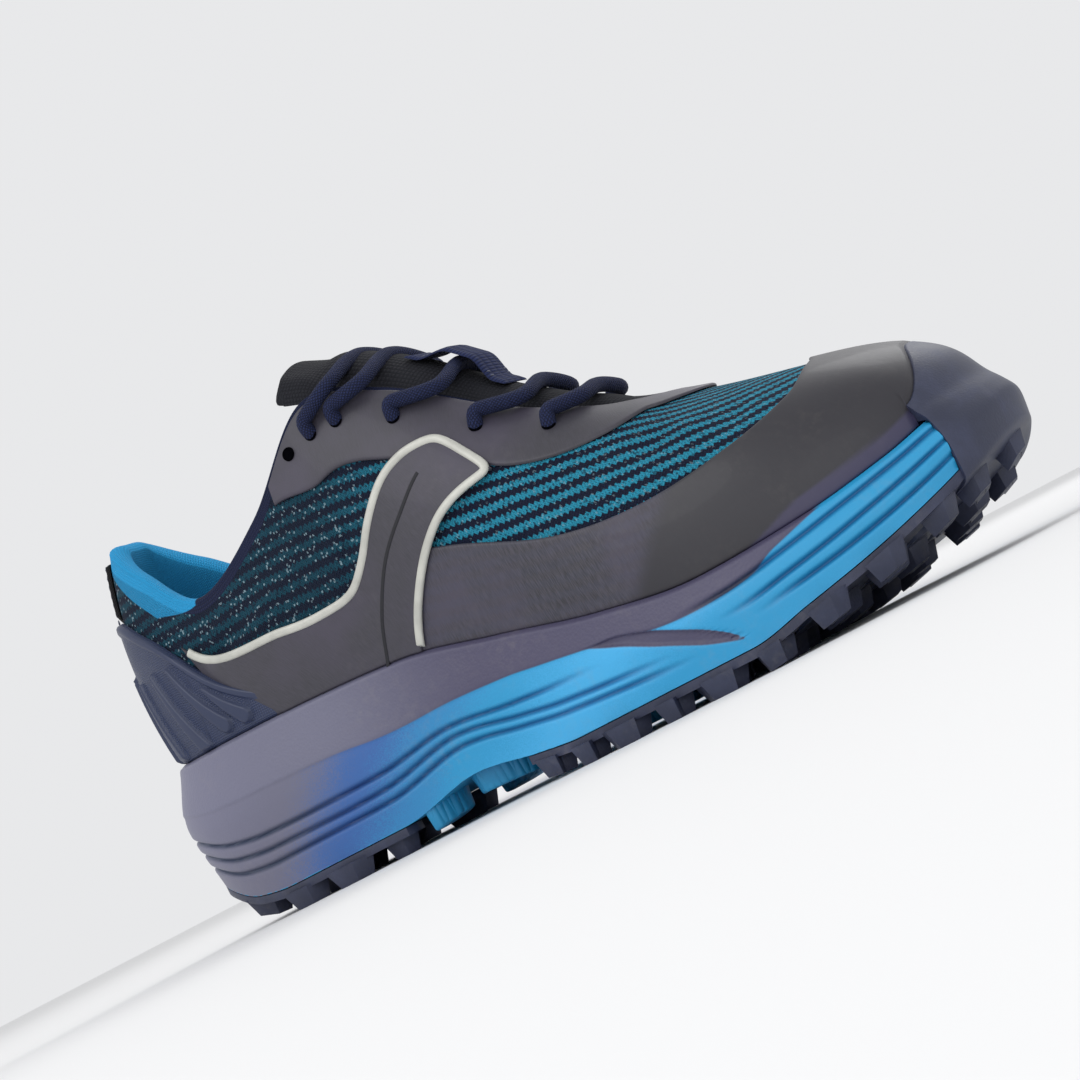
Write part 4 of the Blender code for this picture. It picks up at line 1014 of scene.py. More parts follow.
def frames_along(path):
    """Tangent, normal and side vectors carried along a path without twist."""
    tangents = unit(np.gradient(path, axis=0))
    side = np.cross(tangents[0], (0.0, 0.0, 1.0))
    side = unit(side if np.linalg.norm(side) > 0.1 else np.cross(tangents[0], (0.0, 1.0, 0.0)))
    sides = []
    for tangent in tangents:
        side = unit(side - tangent * np.dot(side, tangent))
        sides.append(side)
    sides = np.array(sides)
    return tangents, np.cross(sides, tangents), sides


def run_along(path):
    """Distance of each point of a path from its start."""
    return np.concatenate(([0.0], np.cumsum(np.linalg.norm(np.diff(path, axis=0), axis=1))))


def cord_sheets(path, radius, count=16):
    """A round cord along a path, with domed ends."""
    tangents, ups, sides = frames_along(path)
    angles = np.linspace(0.0, 2 * pi, count + 1)
    ring = (sides[:, None] * np.cos(angles)[None, :, None]
            + ups[:, None] * np.sin(angles)[None, :, None]) * radius
    skin = np.stack(np.broadcast_arrays(run_along(path)[:, None], radius * angles[None, :]), axis=-1)
    made = [sheet(path[:, None] + ring, skin=skin)]
    for end, way in ((0, -1), (-1, 1)):
        cap = []
        for share in np.linspace(0.0, 1.0, 5):
            scale = cos(share * pi / 2) if share < 1 else 0.0
            dome = tangents[end] * way * radius * sin(share * pi / 2) * 0.7
            cap.append(path[end] + ring[end] * scale + dome)
        made.append(sheet(np.array(cap)))
    return made


def ribbon_sheets(path, normals, width, thick, sink):
    """A narrow strip with a rounded back along a path; its ends and edges thin out."""
    tangents = unit(np.gradient(path, axis=0))
    side = unit(np.cross(normals, tangents))
    across = np.array([-0.5, -0.46, -0.38, -0.2, 0.0, 0.2, 0.38, 0.46, 0.5])
    flat = path[:, None] + side[:, None] * width * across[None, :, None]
    high = rounding(flat, width * 0.35)
    outer = flat + normals[:, None] * (thick * high)[..., None]
    inner = flat - normals[:, None] * (sink * high)[..., None]
    skin = lengths(outer)
    return [sheet(outer, skin=skin), sheet(inner, skin=skin)]


def wall_at(u, v):
    """Wall of the upper, thicker in the padded collar and heel."""
    pad = smooth((5.2 - behind(u)) / 1.2) * smooth((v - 0.45) / 0.35) * smooth((1.25 - v) / 0.3)
    return WALL + COLLAR_PAD * pad


# Lower edge, as (section, share of height), of the lining that rolls over the collar at the heel tab
PATCH = ((0.0, 0.950), (0.86, 0.945), (2.25, 0.872), (3.00, 1.010), (12.0, 1.400))


def patch_reach(u, v):
    """How far, in v, a place lies inside the patch of lining."""
    places, edge = zip(*PATCH)
    return np.broadcast_to(v - np.interp(behind(u), places, edge), np.broadcast(u, v).shape)


BINDING_SHARE = 0.955     # where the rolled binding begins, as a share of the upper's height
BINDING_RISE = 0.36       # how far it swells above the top line, as a share of the wall


def make_upper(sizes):
    u = round_columns()[None, :]
    rows = np.linspace(0.0, BINDING_SHARE, 104)[:, None]
    edges = np.linspace(BINDING_SHARE, 1.0, 7)[:, None]
    outer, edge = skin_point(u, rows), skin_point(u, edges)
    wall = wall_at(u, 1.0)
    turn = np.linspace(0.0, pi, 11)[:, None]
    crown = skin_point(u, 1.0, -wall / 2 * (1 - np.cos(turn)))
    crown[..., 2] += wall * BINDING_RISE * np.sin(turn)
    v = np.linspace(1.0, 0.0, 56)[:, None]
    inner = skin_point(u, v, -wall_at(u, v))
    foot = outline(u[0], -WALL)
    foot[:, 2] = round_loop(FOOT, u[0])[:, 2]
    seal = np.stack((inner[-1], foot, outer[0]))
    sheets = [sheet(outer, patch=patch_reach(u, rows)), sheet(edge, 1, patch=patch_reach(u, edges)),
              sheet(crown, 1, patch=patch_reach(u, np.array([[1.0]]))), sheet(inner, 2), sheet(seal, 2)]
    return build("upper_knit", sheets, ["knit", "binding", "lining"], ["upper"], 60)


def counter_height(u):
    return steady(np.arange(5.0), COUNTER_TOP, behind(u)) * HEEL_HEIGHT


RIB_TOP, RIB_FOOT = 0.0008, 0.0026      # half width of a rib at either end
RIB_EASE = 0.0011
BORDER_WIDTH = 0.0036
# Ribs on each side of the counter: top and foot as section and share of height
Rib = namedtuple("Rib", "top_u top_v foot_u foot_v")
RIBS = [
    Rib(0.30, 0.62, 0.45, 0.17), Rib(0.88, 0.58, 1.22, 0.18), Rib(1.42, 0.57, 1.88, 0.20),
    Rib(1.92, 0.62, 2.50, 0.30), Rib(2.30, 0.66, 2.95, 0.38), Rib(2.80, 0.58, 3.24, 0.37),
]


def rib_share(surface, u):
    """1 on the flat top of a rib that widens to its foot, 0 between ribs."""
    total = np.zeros(surface.shape[:2])
    t = np.linspace(0.0, 1.0, 40)
    for rib in RIBS:
        path = skin_point(mix(rib.top_u, rib.foot_u, t), mix(rib.top_v, rib.foot_v, t), CURVED_GAP)
        for mirror in (1.0, -1.0):
            apart = np.linalg.norm(surface[:, :, None] - path * (1.0, mirror, 1.0), axis=-1)
            apart = np.where((u * mirror > -0.3)[..., None], apart, 1.0)
            half = mix(RIB_TOP, RIB_FOOT, t)
            total = np.maximum(total, smooth(np.max((half - apart) / RIB_EASE + 0.5, axis=-1)))
    return total


def make_counter(sizes):
    u = np.linspace(-COUNTER_SPAN, COUNTER_SPAN, 301)[None, :]
    low = level_share(u, rim_height(u) + CURVED_GAP)
    high = level_share(u, np.maximum(counter_height(u), rim_height(u) + 0.004))
    t = edged(72)[:, None]
    v = mix(low, high, t)
    surface = skin_point(u, v, CURVED_GAP)
    rib = rib_share(surface, u) * smooth(t / 0.06)
    reach = np.linalg.norm(surface - surface[-1:], axis=-1)
    border = smooth((BORDER_WIDTH - reach) / 0.0010) * smooth(reach / 0.0008)
    border = border * smooth((COUNTER_SPAN - np.abs(u)) / 0.35)
    raised = COUNTER_RIB * rib + sizes.border * border
    return skin_film("heel_counter_cup", u, v, COUNTER, ["counter"], "navy_moulding", ["heel_counter"],
                     radius=0.0014, raised=raised, rib=np.maximum(rib, border))


# Sections that the pull tape spans, and its ends over the counter and on the upper's height
TAPE_SPAN = TAPE_WIDTH / (LAST[1].lateral * BALL_WIDTH)
TAPE_FOOT, TAPE_TOP = 0.03, 0.97


def make_tape(sizes):
    u = (edged(16)[None, :] - 0.5) * TAPE_SPAN
    low = level_share(u, counter_height(u)) + TAPE_FOOT
    v = mix(low, TAPE_TOP, edged(40)[:, None])
    return skin_film("pull_tape_cloth", u, v, TAPE, ["tape"], "black_tape", ["pull_tape"])


def eyestay_low(u, below=0.0):
    """The v of the eyestay's lower edge, or of a line that far below it."""
    share = steady(EYESTAY_SECTIONS, EYESTAY_SHARES, behind(u))
    return throat_share(u, EYESTAY_WIDTH * share + below)


def make_eyestay(sizes):
    u = mix(EYESTAY_START, SPANS - EYESTAY_START, edged(300, 0.01))[None, :]
    v = mix(eyestay_low(u), 0.985, edged(24, 0.08)[:, None])
    return skin_film("eyestay_film", u, v, FILM, ["eyestay"], "charcoal_film", ["eyestay"])


def bumper_reach(u):
    """1 at the tip of the toe, 0 at either side end of the bumper."""
    return 1.0 - np.abs(u - HALF) / BUMPER_SPAN


def bumper_share(u):
    reach = bumper_reach(u)
    return np.where(reach >= -WELD, smooth(0.35 + 3.0 * reach), 0.0)


def bumper_high(u):
    side = level_share(u, rim_height(u)) + 0.08
    return mix(side, BUMPER_TOP, smooth(1.1 * bumper_reach(u)))


def rand_low(u):
    on_rim = level_share(u, rim_height(u) + CURVED_GAP)
    return np.where(np.abs(u - HALF) > BUMPER_SPAN + 0.01, on_rim, bumper_high(u) - 0.03)


def rand_high(u):
    share = steady(np.arange(4.0, 13.0), RAND_TOP, behind(u))
    rear_u, rear_v, _, _ = side_edges(np.linspace(0.0, 1.0, 60))
    under_side = np.interp(behind(u), rear_u, rear_v - 0.02)
    high = np.minimum(mix(level_share(u, rim_height(u)), 1.0, share), under_side)
    return np.maximum(high, rand_low(u) + 0.04)


# The darker toe of the rand film starts at section TOE_LINE on the height TOE_HEIGHT, and TOE_LEAN
# sections further forward for each whole share of height above. The strip is its lighter foot.
TOE_LINE = 7.35
TOE_LEAN = 2.9
TOE_HEIGHT = 0.15
STRIP_START = 8.3


def make_rand(sizes):
    u = mix(RAND_START, SPANS - RAND_START, edged(360, 0.008))
    v = mix(rand_low(u)[None, :], rand_high(u)[None, :], edged(32)[:, None])
    u = np.broadcast_to(u[None, :], v.shape)
    toe = smooth((behind(u) - TOE_LINE - TOE_LEAN * (v - TOE_HEIGHT)) / 0.30)
    on_rim = level_share(u[0], rim_height(u[0]))
    foot = np.linalg.norm(skin_point(u, v) - skin_point(u[0], on_rim), axis=-1)
    strip_height = sizes.strip * smooth((behind(u) - STRIP_START) / 0.9)
    strip = smooth((strip_height - foot) / 0.0010 + 0.5)
    covered = smooth((bumper_reach(u) + 0.12) / 0.12) * smooth((bumper_high(u) + 0.03 - v) / 0.03)
    return skin_film("rand_film_sheet", u, v, FILM, ["film"], "charcoal_film", ["rand_film"],
                     gap=mix(TOE_GAP, 0.0001, covered), toe=toe, strip=strip)


# Side film between two edges, from its rear end up to the eyestay: sections and shares of height.
# A foot of 0 is on the rim.
SidePlace = namedtuple("SidePlace", "share rear_u rear_v front_u front_v")
SIDE_FILM = [
    SidePlace(0.00, 2.55, 0.780, 3.45, 0.00), SidePlace(0.18, 3.25, 0.665, 3.90, 0.00),
    SidePlace(0.32, 3.87, 0.560, 4.32, 0.00), SidePlace(0.44, 4.40, 0.450, 4.72, 0.00),
    SidePlace(0.54, 4.82, 0.405, 5.08, 0.00), SidePlace(0.64, 5.10, 0.455, 5.30, 0.20),
    SidePlace(0.76, 5.38, 0.550, 5.62, 0.345), SidePlace(0.88, 5.80, 0.665, 6.08, 0.485),
    SidePlace(1.00, 6.42, 0.775, 6.80, 0.655),
]


def side_edges(share):
    """Rear and front edge of the side film, as (u, v) arrays."""
    table = refined(SIDE_FILM, 12)
    rear_u, rear_v, front_u, front_v = (np.interp(share, table[:, 0], table[:, k]) for k in range(1, 5))
    foot = level_share(front_u, rim_height(front_u) + CURVED_GAP)
    return rear_u, rear_v, front_u, np.maximum(front_v, foot)


def side_gap(share):
    """Room under the side film: little at its rear end, which the counter covers."""
    return mix(TUCKED_GAP, LAYER_GAP, smooth(share / 0.10))


def make_side_films(sizes):
    share = edged(170, 0.02)
    rear_u, rear_v, front_u, front_v = side_edges(share)
    t = edged(26)[:, None]
    u, v = mix(front_u[None, :], rear_u[None, :], t), mix(front_v[None, :], rear_v[None, :], t)
    for side, node in ((-1, "saddle_lateral"), (1, "saddle_medial")):
        skin_film(node + "_sheet", on_side(u, side), v, FILM, ["side_film"], "charcoal_film", [node],
                  gap=side_gap(share)[None, :])


def make_piping(sizes):
    """A silver line up the rear edge of each side film, over its head and down the front."""
    share = np.linspace(PIPING_START, 1.0, 220)
    rear_u, rear_v, front_u, front_v = side_edges(share)
    across = np.linspace(0.0, 1.0, 14)[1:-1]
    climb = front_v > level_share(front_u, rim_height(front_u) + PIPING_FOOT)
    u = np.concatenate((rear_u, mix(rear_u[-1], front_u[-1], across), front_u[climb][::-1]))
    v = np.concatenate((rear_v, mix(rear_v[-1], front_v[-1], across), front_v[climb][::-1]))
    places = softened(np.stack((u, v), axis=-1), 14)
    gap = np.concatenate((side_gap(share), np.full(len(u) - len(share), LAYER_GAP)))
    for side, label in ((-1, "piping_lateral"), (1, "piping_medial")):
        u = on_side(places[:, 0], side)
        path = evenly(skin_point(u, places[:, 1], gap + FILM * 0.6), 0.0007)
        steps = np.linspace(0.0, 1.0, len(path))
        normals = unit(np.stack([np.interp(steps, np.linspace(0.0, 1.0, len(u)), axis)
                                 for axis in shell_normal(u, places[:, 1]).T], axis=-1))
        build(label, ribbon_sheets(path, normals, sizes.piping, PIPING_THICK, RIBBON_SINK), ["piping"])


# Tongue under the lace: crown as a share of TONGUE_CROWN at each section. Its free top: shares of
# LENGTH, TONGUE_HEIGHT and BALL_WIDTH.
TongueRow = namedtuple("TongueRow", "section crown")
TONGUE_ROWS = [
    TongueRow(9.5, 0.06), TongueRow(8.9, 0.20), TongueRow(8.2, 0.40), TongueRow(7.6, 0.50),
    TongueRow(6.9, 0.70), TongueRow(6.2, 0.90), TongueRow(5.5, 1.00),
]
TongueTop = namedtuple("TongueTop", "along height half")
TONGUE_TOP = [TongueTop(0.402, 0.970, 0.185), TongueTop(0.370, 1.000, 0.170)]
MIRROR = np.array([1.0, -1.0, 1.0])


def tongue_crown(u):
    rows = TONGUE_ROWS[::-1]
    return steady(column(rows, "section"), column(rows, "crown"), u) * TONGUE_CROWN


def tongue_section(outer, inner, crown, fill=0.0):
    row = [outer, inner]
    for j in range(1, 6):
        place = mix(inner, inner * MIRROR, j / 6)
        place[2] += crown * (1 - (j / 3 - 1) ** 2) + fill * (1 - (j / 3 - 1) ** 4)
        row.append(place)
    return row + [inner * MIRROR, outer * MIRROR]


def tongue_grids(sizes):
    """Top and underside of the tongue, from its root (first row) to its free top."""
    inward = -(WALL + TONGUE_CLEAR)
    front = np.linspace(HALF - 2, HALF + 2, 9)
    top = [list(skin_point(front, throat_share(front, TONGUE_ROOT), inward))]
    for row in TONGUE_ROWS:
        u = row.section
        outer = skin_point(u, throat_share(u, TONGUE_FALL * 0.5), inward)
        crown = float(tongue_crown(u))
        fill = sizes.tongue_fill * min(crown / 0.003, 1.0)
        top.append(tongue_section(outer, skin_point(u, 1.0, inward), crown, fill))
    for row in TONGUE_TOP:
        x, crest = row.along * LENGTH - CENTRE, row.height * TONGUE_HEIGHT
        inner = np.array([x, -row.half * BALL_WIDTH, crest - TONGUE_FALL / 2])
        outer = inner + np.array([0.0, -TONGUE_FALL * 0.15, -TONGUE_FALL * 0.4])
        top.append(tongue_section(outer, inner, TONGUE_FALL / 2))
    under = []
    for i, row in enumerate(top):
        before, after = top[max(i - 1, 0)][4], top[min(i + 1, len(top) - 1)][4]
        rise = (after - before) / np.linalg.norm(after - before)
        normal = np.array([rise[2], 0.0, -rise[0]])
        pad = smooth(i / len(TONGUE_ROWS))
        middle = mix(TONGUE_EDGE, TONGUE_PAD, pad)
        thick = [mix(TONGUE_EDGE, middle, 1 - (j / 4 - 1) ** 4) for j in range(9)]
        under.append([point - normal * depth for point, depth in zip(row, thick)])
    return refined_grid(np.array(top), 8), refined_grid(np.array(under), 8)


def make_tongue(sizes):
    over, below = tongue_grids(sizes)
    sheets = [sheet(over), sheet(below[:-14], 1), sheet(below[-15:])]
    for a, b, inside in ((over[-1], below[-1], over[-4]), (over[0], below[0], over[3]),
                         (over[:, 0], below[:, 0], over[:, 3]), (over[:, -1], below[:, -1], over[:, -4])):
        bulge = float(np.linalg.norm(a - b, axis=-1).max()) * 0.35
        sheets.append(strip(a, b, inside, bulge))
    made = build("tongue_padded", sheets, ["tongue", "lining"], ["tongue"], 60)
    return made


KEEPER_BAR = 2            # the bar of lace that runs under the keeper
KEEPER_WIDTH = 0.015
KEEPER_REACH = 0.013      # from the bar to either end
KEEPER_THICK = 0.0012
KEEPER_SINK = 0.0003      # from the line it is built on down to its underside
KEEPER_ARCH = 0.0075      # length over which it rises to the bar


def keeper_path(sizes):
    """Middle line of the webbing over the tongue's crest and one bar, and its normals."""
    over, _ = tongue_grids(sizes)
    crest = evenly(over[:, over.shape[1] // 2], 0.0005)
    bar = bar_points(KEEPER_BAR)
    away = crest[:, 0] - bar[len(bar) // 2][0]
    crest = crest[np.abs(away) < KEEPER_REACH]
    away = away[np.abs(away) < KEEPER_REACH]
    rise = unit(np.gradient(crest, axis=0))
    normals = np.stack((rise[:, 2], np.zeros(len(rise)), -rise[:, 0]), axis=-1)
    clear = bar[len(bar) // 2][2] + LACE / 2 - crest[np.argmin(np.abs(away))][2]
    lift = KEEPER_SINK + max(clear, 0.0) * smooth(1.35 - np.abs(away) / KEEPER_ARCH)
    return crest + normals * lift[:, None], normals


def make_keeper(sizes):
    path, normals = keeper_path(sizes)
    sheets = ribbon_sheets(path, normals, KEEPER_WIDTH, KEEPER_THICK, KEEPER_SINK)
    build("tongue_keeper", sheets, ["webbing"])


def stitch_group():
    """Rounded stitches set end to end along edges, from named lengths."""
    group = bpy.data.node_groups.new("stitch_rows", "GeometryNodeTree")
    group.interface.new_socket("Geometry", in_out="INPUT", socket_type="NodeSocketGeometry")
    for label in ("Pitch", "Stitch", "Thread"):
        group.interface.new_socket(label, in_out="INPUT", socket_type="NodeSocketFloat")
    group.interface.new_socket("Finish", in_out="INPUT", socket_type="NodeSocketMaterial")
    group.interface.new_socket("Geometry", in_out="OUTPUT", socket_type="NodeSocketGeometry")
    given, out = group.nodes.new("NodeGroupInput"), group.nodes.new("NodeGroupOutput")
    curve = put(group, "GeometryNodeMeshToCurve", {"Mesh": given.outputs["Geometry"]})
    spots = put(group, "GeometryNodeCurveToPoints",
                {"Curve": curve.outputs[0], "Length": given.outputs["Pitch"]}, mode="LENGTH")
    size = put(group, "ShaderNodeCombineXYZ", {"X": given.outputs["Thread"], "Y": given.outputs["Thread"],
                                               "Z": given.outputs["Stitch"]})
    ball = put(group, "GeometryNodeMeshUVSphere", {"Segments": 8, "Rings": 6, "Radius": 0.5})
    one = put(group, "GeometryNodeTransform", {"Geometry": ball.outputs["Mesh"], "Scale": size.outputs[0]})
    row = put(group, "GeometryNodeInstanceOnPoints",
              {"Points": spots.outputs["Points"], "Instance": one.outputs["Geometry"],
               "Rotation": spots.outputs["Rotation"]})
    whole = put(group, "GeometryNodeRealizeInstances", {"Geometry": row.outputs[0]})
    dressed = put(group, "GeometryNodeSetMaterial",
                  {"Geometry": whole.outputs[0], "Material": given.outputs["Finish"]})
    group.links.new(dressed.outputs[0], out.inputs[0])
    return group


def across_rows(path, normals, rows, width, lift):
    """Lines across a strip, at given row numbers of its middle line."""
    side = unit(np.cross(normals, unit(np.gradient(path, axis=0))))
    shares = np.linspace(-0.5, 0.5, 9)[:, None]
    return [path[row] + side[row] * width * shares + normals[row] * lift for row in rows]


KEEPER_ROWS = (11, 14, -15, -12)        # places of its stitch rows along the keeper's middle line
TAPE_ROWS = (0.925, 0.955)              # two rows across the pull tape, by the upper's height


def make_stitches(sizes):
    """Stitch rows at the keeper's ends and round the pull tape."""
    path, normals = keeper_path(sizes)
    lines = across_rows(path, normals, KEEPER_ROWS, KEEPER_WIDTH * 0.70, KEEPER_THICK * 0.7)
    reach, (low_row, high_row) = 0.42 * TAPE_SPAN, TAPE_ROWS
    ups = np.linspace(float(level_share(0.0, counter_height(0.0))) + TAPE_FOOT + 0.02, high_row, 40)
    for u, v in ((-reach, ups), (reach, ups), (np.linspace(-reach, reach, 12), high_row),
                 (np.linspace(-reach, reach, 12), low_row)):
        lines.append(skin_point(u, v, CURVED_GAP + TAPE))
    points, edges = [], []
    for line in lines:
        edges += [(len(points) + i, len(points) + i + 1) for i in range(len(line) - 1)]
        points += line.tolist()
    mesh = bpy.data.meshes.new("seam_lines")
    mesh.from_pydata(points, edges, [])
    drawn = new_object("seam_lines", mesh)
    modifier = drawn.modifiers.new("stitches", "NODES")
    modifier.node_group = stitch_group()
    values = {"Pitch": sizes.stitch * 1.35, "Stitch": sizes.stitch, "Thread": sizes.thread,
              "Finish": finish_for("thread")}
    for item in modifier.node_group.interface.items_tree:
        if item.in_out == "INPUT" and item.name in values:
            modifier[item.identifier] = values[item.name]
    made = as_mesh(drawn)
    bpy.data.objects.remove(drawn)
    made.name = "seam_stitches"
    return settle("seam_stitches", made, [], (), 180)


SeamPlace = namedtuple("SeamPlace", "u v")
SIDE_SEAM = [
    SeamPlace(6.12, 0.640), SeamPlace(5.80, 0.545), SeamPlace(5.36, 0.425), SeamPlace(5.06, 0.300),
    SeamPlace(4.90, 0.190), SeamPlace(4.84, 0.150),
]


def make_side_seams(sizes):
    """A dark pressed line down the middle of each side film."""
    places = refined(SIDE_SEAM, 16)
    for side, label in ((-1, "side_seam_lateral"), (1, "side_seam_medial")):
        u, v = on_side(places[:, 0], side), places[:, 1]
        sheets = ribbon_sheets(skin_point(u, v, LAYER_GAP + FILM), shell_normal(u, v), sizes.seam,
                               SEAM_THICK, RIBBON_SINK)
        build(label, sheets, ["seam"])


# Rounded side of the insole: inset from the wall, and share of its thickness
INSOLE_SIDE = ((GAP, 0.0), (GAP, 0.75), (0.0004, 0.92), (0.0010, 1.0))


def make_insole(sizes):
    u = round_columns()
    rings = []
    for inset, lift in INSOLE_SIDE:
        ring = outline(u, -(WALL + inset))
        ring[:, 2] = bed_height(ring[:, 0]) + GAP + INSOLE * lift
        rings.append(ring)
    low = lid(rings[0], lambda x: bed_height(x) + GAP)
    high = lid(rings[-1], lambda x: bed_height(x) + GAP + INSOLE)
    return build("insole_cloth", [low, sheet(np.array(rings)), high], ["lining"],
                 ["insole"])


# Grooves in the side of the foam: first and last section, and its level at five places between
Groove = namedtuple("Groove", "first last levels")
GROOVES = [
    Groove(-1.0, 6.9, (0.43, 0.40, 0.36, 0.40, 0.53)), Groove(-1.0, 7.6, (0.31, 0.28, 0.26, 0.33, 0.33)),
    Groove(-1.0, 7.8, (0.17, 0.17, 0.18, 0.24, 0.20)), Groove(7.6, 11.3, (0.68, 0.75, 0.84, 0.86, 0.84)),
    Groove(8.0, 11.3, (0.46, 0.50, 0.55, 0.57, 0.56)), Groove(8.3, 11.3, (0.31, 0.29, 0.28, 0.28, 0.28)),
]
RIM_ROUND = 0.0012
BAND_MARK = 0.02          # the band mark's value on the edge of the band
BAND_EASE = 0.0016        # height over which the band steps out
# Lower edge of the rim's darker band: its level at each place
BAND_PLACES = (0.0, 2.5, 4.0, 5.0, 6.1, 6.9, 7.6, 8.4, 8.7, 9.5, 12.0)
BAND_LEVELS = (0.62, 0.64, 0.62, 0.56, 0.68, 0.71, 0.67, 0.72, 0.86, 1.04, 1.04)

# Dark leaf in the side of the foam, below the band: section, level and half width at each place
Leaf = namedtuple("Leaf", "section level half")
LEAF = [
    Leaf(6.75, 0.72, 0.0000), Leaf(7.05, 0.69, 0.0016), Leaf(7.45, 0.57, 0.0024),
    Leaf(7.80, 0.40, 0.0024), Leaf(8.05, 0.24, 0.0014), Leaf(8.18, 0.13, 0.0000),
]


def leaf_reach(place, level, high):
    """How far inside the leaf a place lies, in metres."""
    sections = column(LEAF, "section")
    middle, half = (steady(sections, column(LEAF, name), place) for name in ("level", "half"))
    outside = np.maximum(sections[0] - place, place - sections[-1])
    return half - np.abs(level - middle) * high - 0.01 * np.maximum(outside, 0.0)


def groove_share(u, level, half):
    """1 at the bottom of a groove, 0 away from it."""
    place = behind(u)
    high = rim_height(u) - tread_height(round_loop(FOOT, u)[..., 0])
    total = 0.0
    for groove in GROOVES:
        ends = smooth((place - groove.first) / 0.6) * smooth((groove.last - place) / 0.9)
        path = steady(np.linspace(max(groove.first, 0.0), groove.last, 5), groove.levels, place)
        total = total + ends * np.exp(-((level - path) * high / half) ** 2)
    return np.clip(total, 0.0, 1.0)


def foam_inset(u):
    share = bumper_share(np.mod(u, SPANS))
    return share * BUMPER + np.where(share > 0, CURVED_GAP, 0.0)


def foam_side(u, level, sizes):
    """Side of the foam with its grooves, band and rounded rim; also the marks for its colours and for the
    painted shade in its grooves.
    """
    high = rim_height(u) - tread_height(round_loop(FOOT, u)[..., 0])
    clear = bumper_share(u) < 0.01
    groove = groove_share(u, level, sizes.groove_width) * clear
    edge = steady(BAND_PLACES, BAND_LEVELS, behind(u))
    over = (level - edge) * high
    band = np.clip(over / BAND_EASE + 0.5, 0.0, 1.0)
    reach = leaf_reach(behind(u), level, high)
    leaf = smooth(reach / 0.0008)
    near = np.clip(1 - (1 - level) * high / RIM_ROUND, 0.0, 1.0)
    groove = groove * (1 - leaf)
    out = (sizes.band * smooth(band) * clear - sizes.groove_depth * groove - sizes.leaf * leaf
           - RIM_ROUND * (1 - np.sqrt(1 - near ** 2)) - foam_inset(u))
    return side_point(u, level, out), dict(groove=groove, level=level + 0 * u,
                                           band=BAND_MARK + np.maximum(over, reach))


def make_midsole(sizes):
    u = round_columns()[None, :]
    level = np.linspace(0.0, 1.0, 110)[:, None]
    side, marks = foam_side(u, level, sizes)
    top_share = level_share(u[0], rim_height(u[0]))
    ledge = skin_point(u[0], top_share, CURVED_GAP)
    across = np.linspace(0.0, 1.0, 5)[:, None, None]
    rim = mix(side[-1], ledge, across)
    rim[..., 2] += 0.0005 * np.sin(pi * across[..., 0])
    cup = skin_point(u, top_share[None, :] * np.linspace(1.0, 0.05, 8)[:, None], CURVED_GAP)
    floor = outline(u[0], CURVED_GAP)
    floor[:, 2] = bed_height(floor[:, 0])
    sheets = [
        lid(side[0], tread_height, 10, under=1.0), sheet(side, **marks),
        sheet(rim, band=marks["band"][-1], level=1.0), sheet(cup, level=1.0),
        sheet(np.stack((cup[-1], floor)), level=1.0), lid(floor, bed_height, 8, level=1.0),
    ]
    return build("midsole_foam", sheets, ["foam"], ["midsole"], 50)


Spot = namedtuple("Spot", "along across")
HEEL_EDGE = [
    Spot(0.306, -0.66), Spot(0.306, -0.43), Spot(0.319, -0.31), Spot(0.289, -0.23),
    Spot(0.263, -0.31), Spot(0.230, -0.23), Spot(0.201, -0.17), Spot(0.194, -0.06),
    Spot(0.217, 0.02), Spot(0.257, 0.10), Spot(0.280, 0.03), Spot(0.302, 0.01),
    Spot(0.319, 0.11), Spot(0.319, 0.66), Spot(-0.06, 0.66), Spot(-0.06, -0.66),
]
FORE_EDGE = [
    Spot(1.06, -0.66), Spot(0.470, -0.66), Spot(0.470, -0.43), Spot(0.493, -0.335),
    Spot(0.526, -0.37), Spot(0.625, -0.42), Spot(0.632, -0.32), Spot(0.645, -0.21),
    Spot(0.657, -0.085), Spot(0.680, -0.075), Spot(0.687, 0.08), Spot(0.694, 0.16),
    Spot(0.684, 0.235), Spot(0.625, 0.18), Spot(0.595, 0.18), Spot(0.582, 0.28),
    Spot(0.579, 0.66), Spot(1.06, 0.66),
]
CHANNELS = [
    [Spot(0.612, -0.42), Spot(0.630, -0.325), Spot(0.668, -0.32), Spot(0.687, -0.285),
     Spot(0.704, -0.34), Spot(0.743, -0.37), Spot(0.753, -0.33), Spot(0.766, -0.37),
     Spot(0.820, -0.39), Spot(0.808, -0.415), Spot(0.797, -0.475), Spot(0.788, -0.475),
     Spot(0.775, -0.43), Spot(0.750, -0.405), Spot(0.722, -0.42), Spot(0.678, -0.40)],
    [Spot(0.677, -0.085), Spot(0.699, -0.19), Spot(0.724, -0.19), Spot(0.734, -0.145),
     Spot(0.758, -0.22), Spot(0.792, -0.20), Spot(0.798, -0.16), Spot(0.815, -0.16),
     Spot(0.824, -0.19), Spot(0.865, -0.21), Spot(0.906, -0.255), Spot(0.923, -0.20),
     Spot(0.898, -0.045), Spot(0.864, -0.15), Spot(0.810, -0.08), Spot(0.793, -0.12),
     Spot(0.750, -0.075), Spot(0.730, -0.12), Spot(0.707, -0.075), Spot(0.684, 0.04)],
    [Spot(0.714, 0.135), Spot(0.740, 0.02), Spot(0.760, 0.07), Spot(0.766, 0.115),
     Spot(0.786, 0.11), Spot(0.803, 0.035), Spot(0.829, 0.075), Spot(0.834, 0.115),
     Spot(0.855, 0.11), Spot(0.866, 0.05), Spot(0.885, 0.03), Spot(0.866, 0.18),
     Spot(0.822, 0.13), Spot(0.800, 0.135), Spot(0.783, 0.19), Spot(0.743, 0.13)],
]
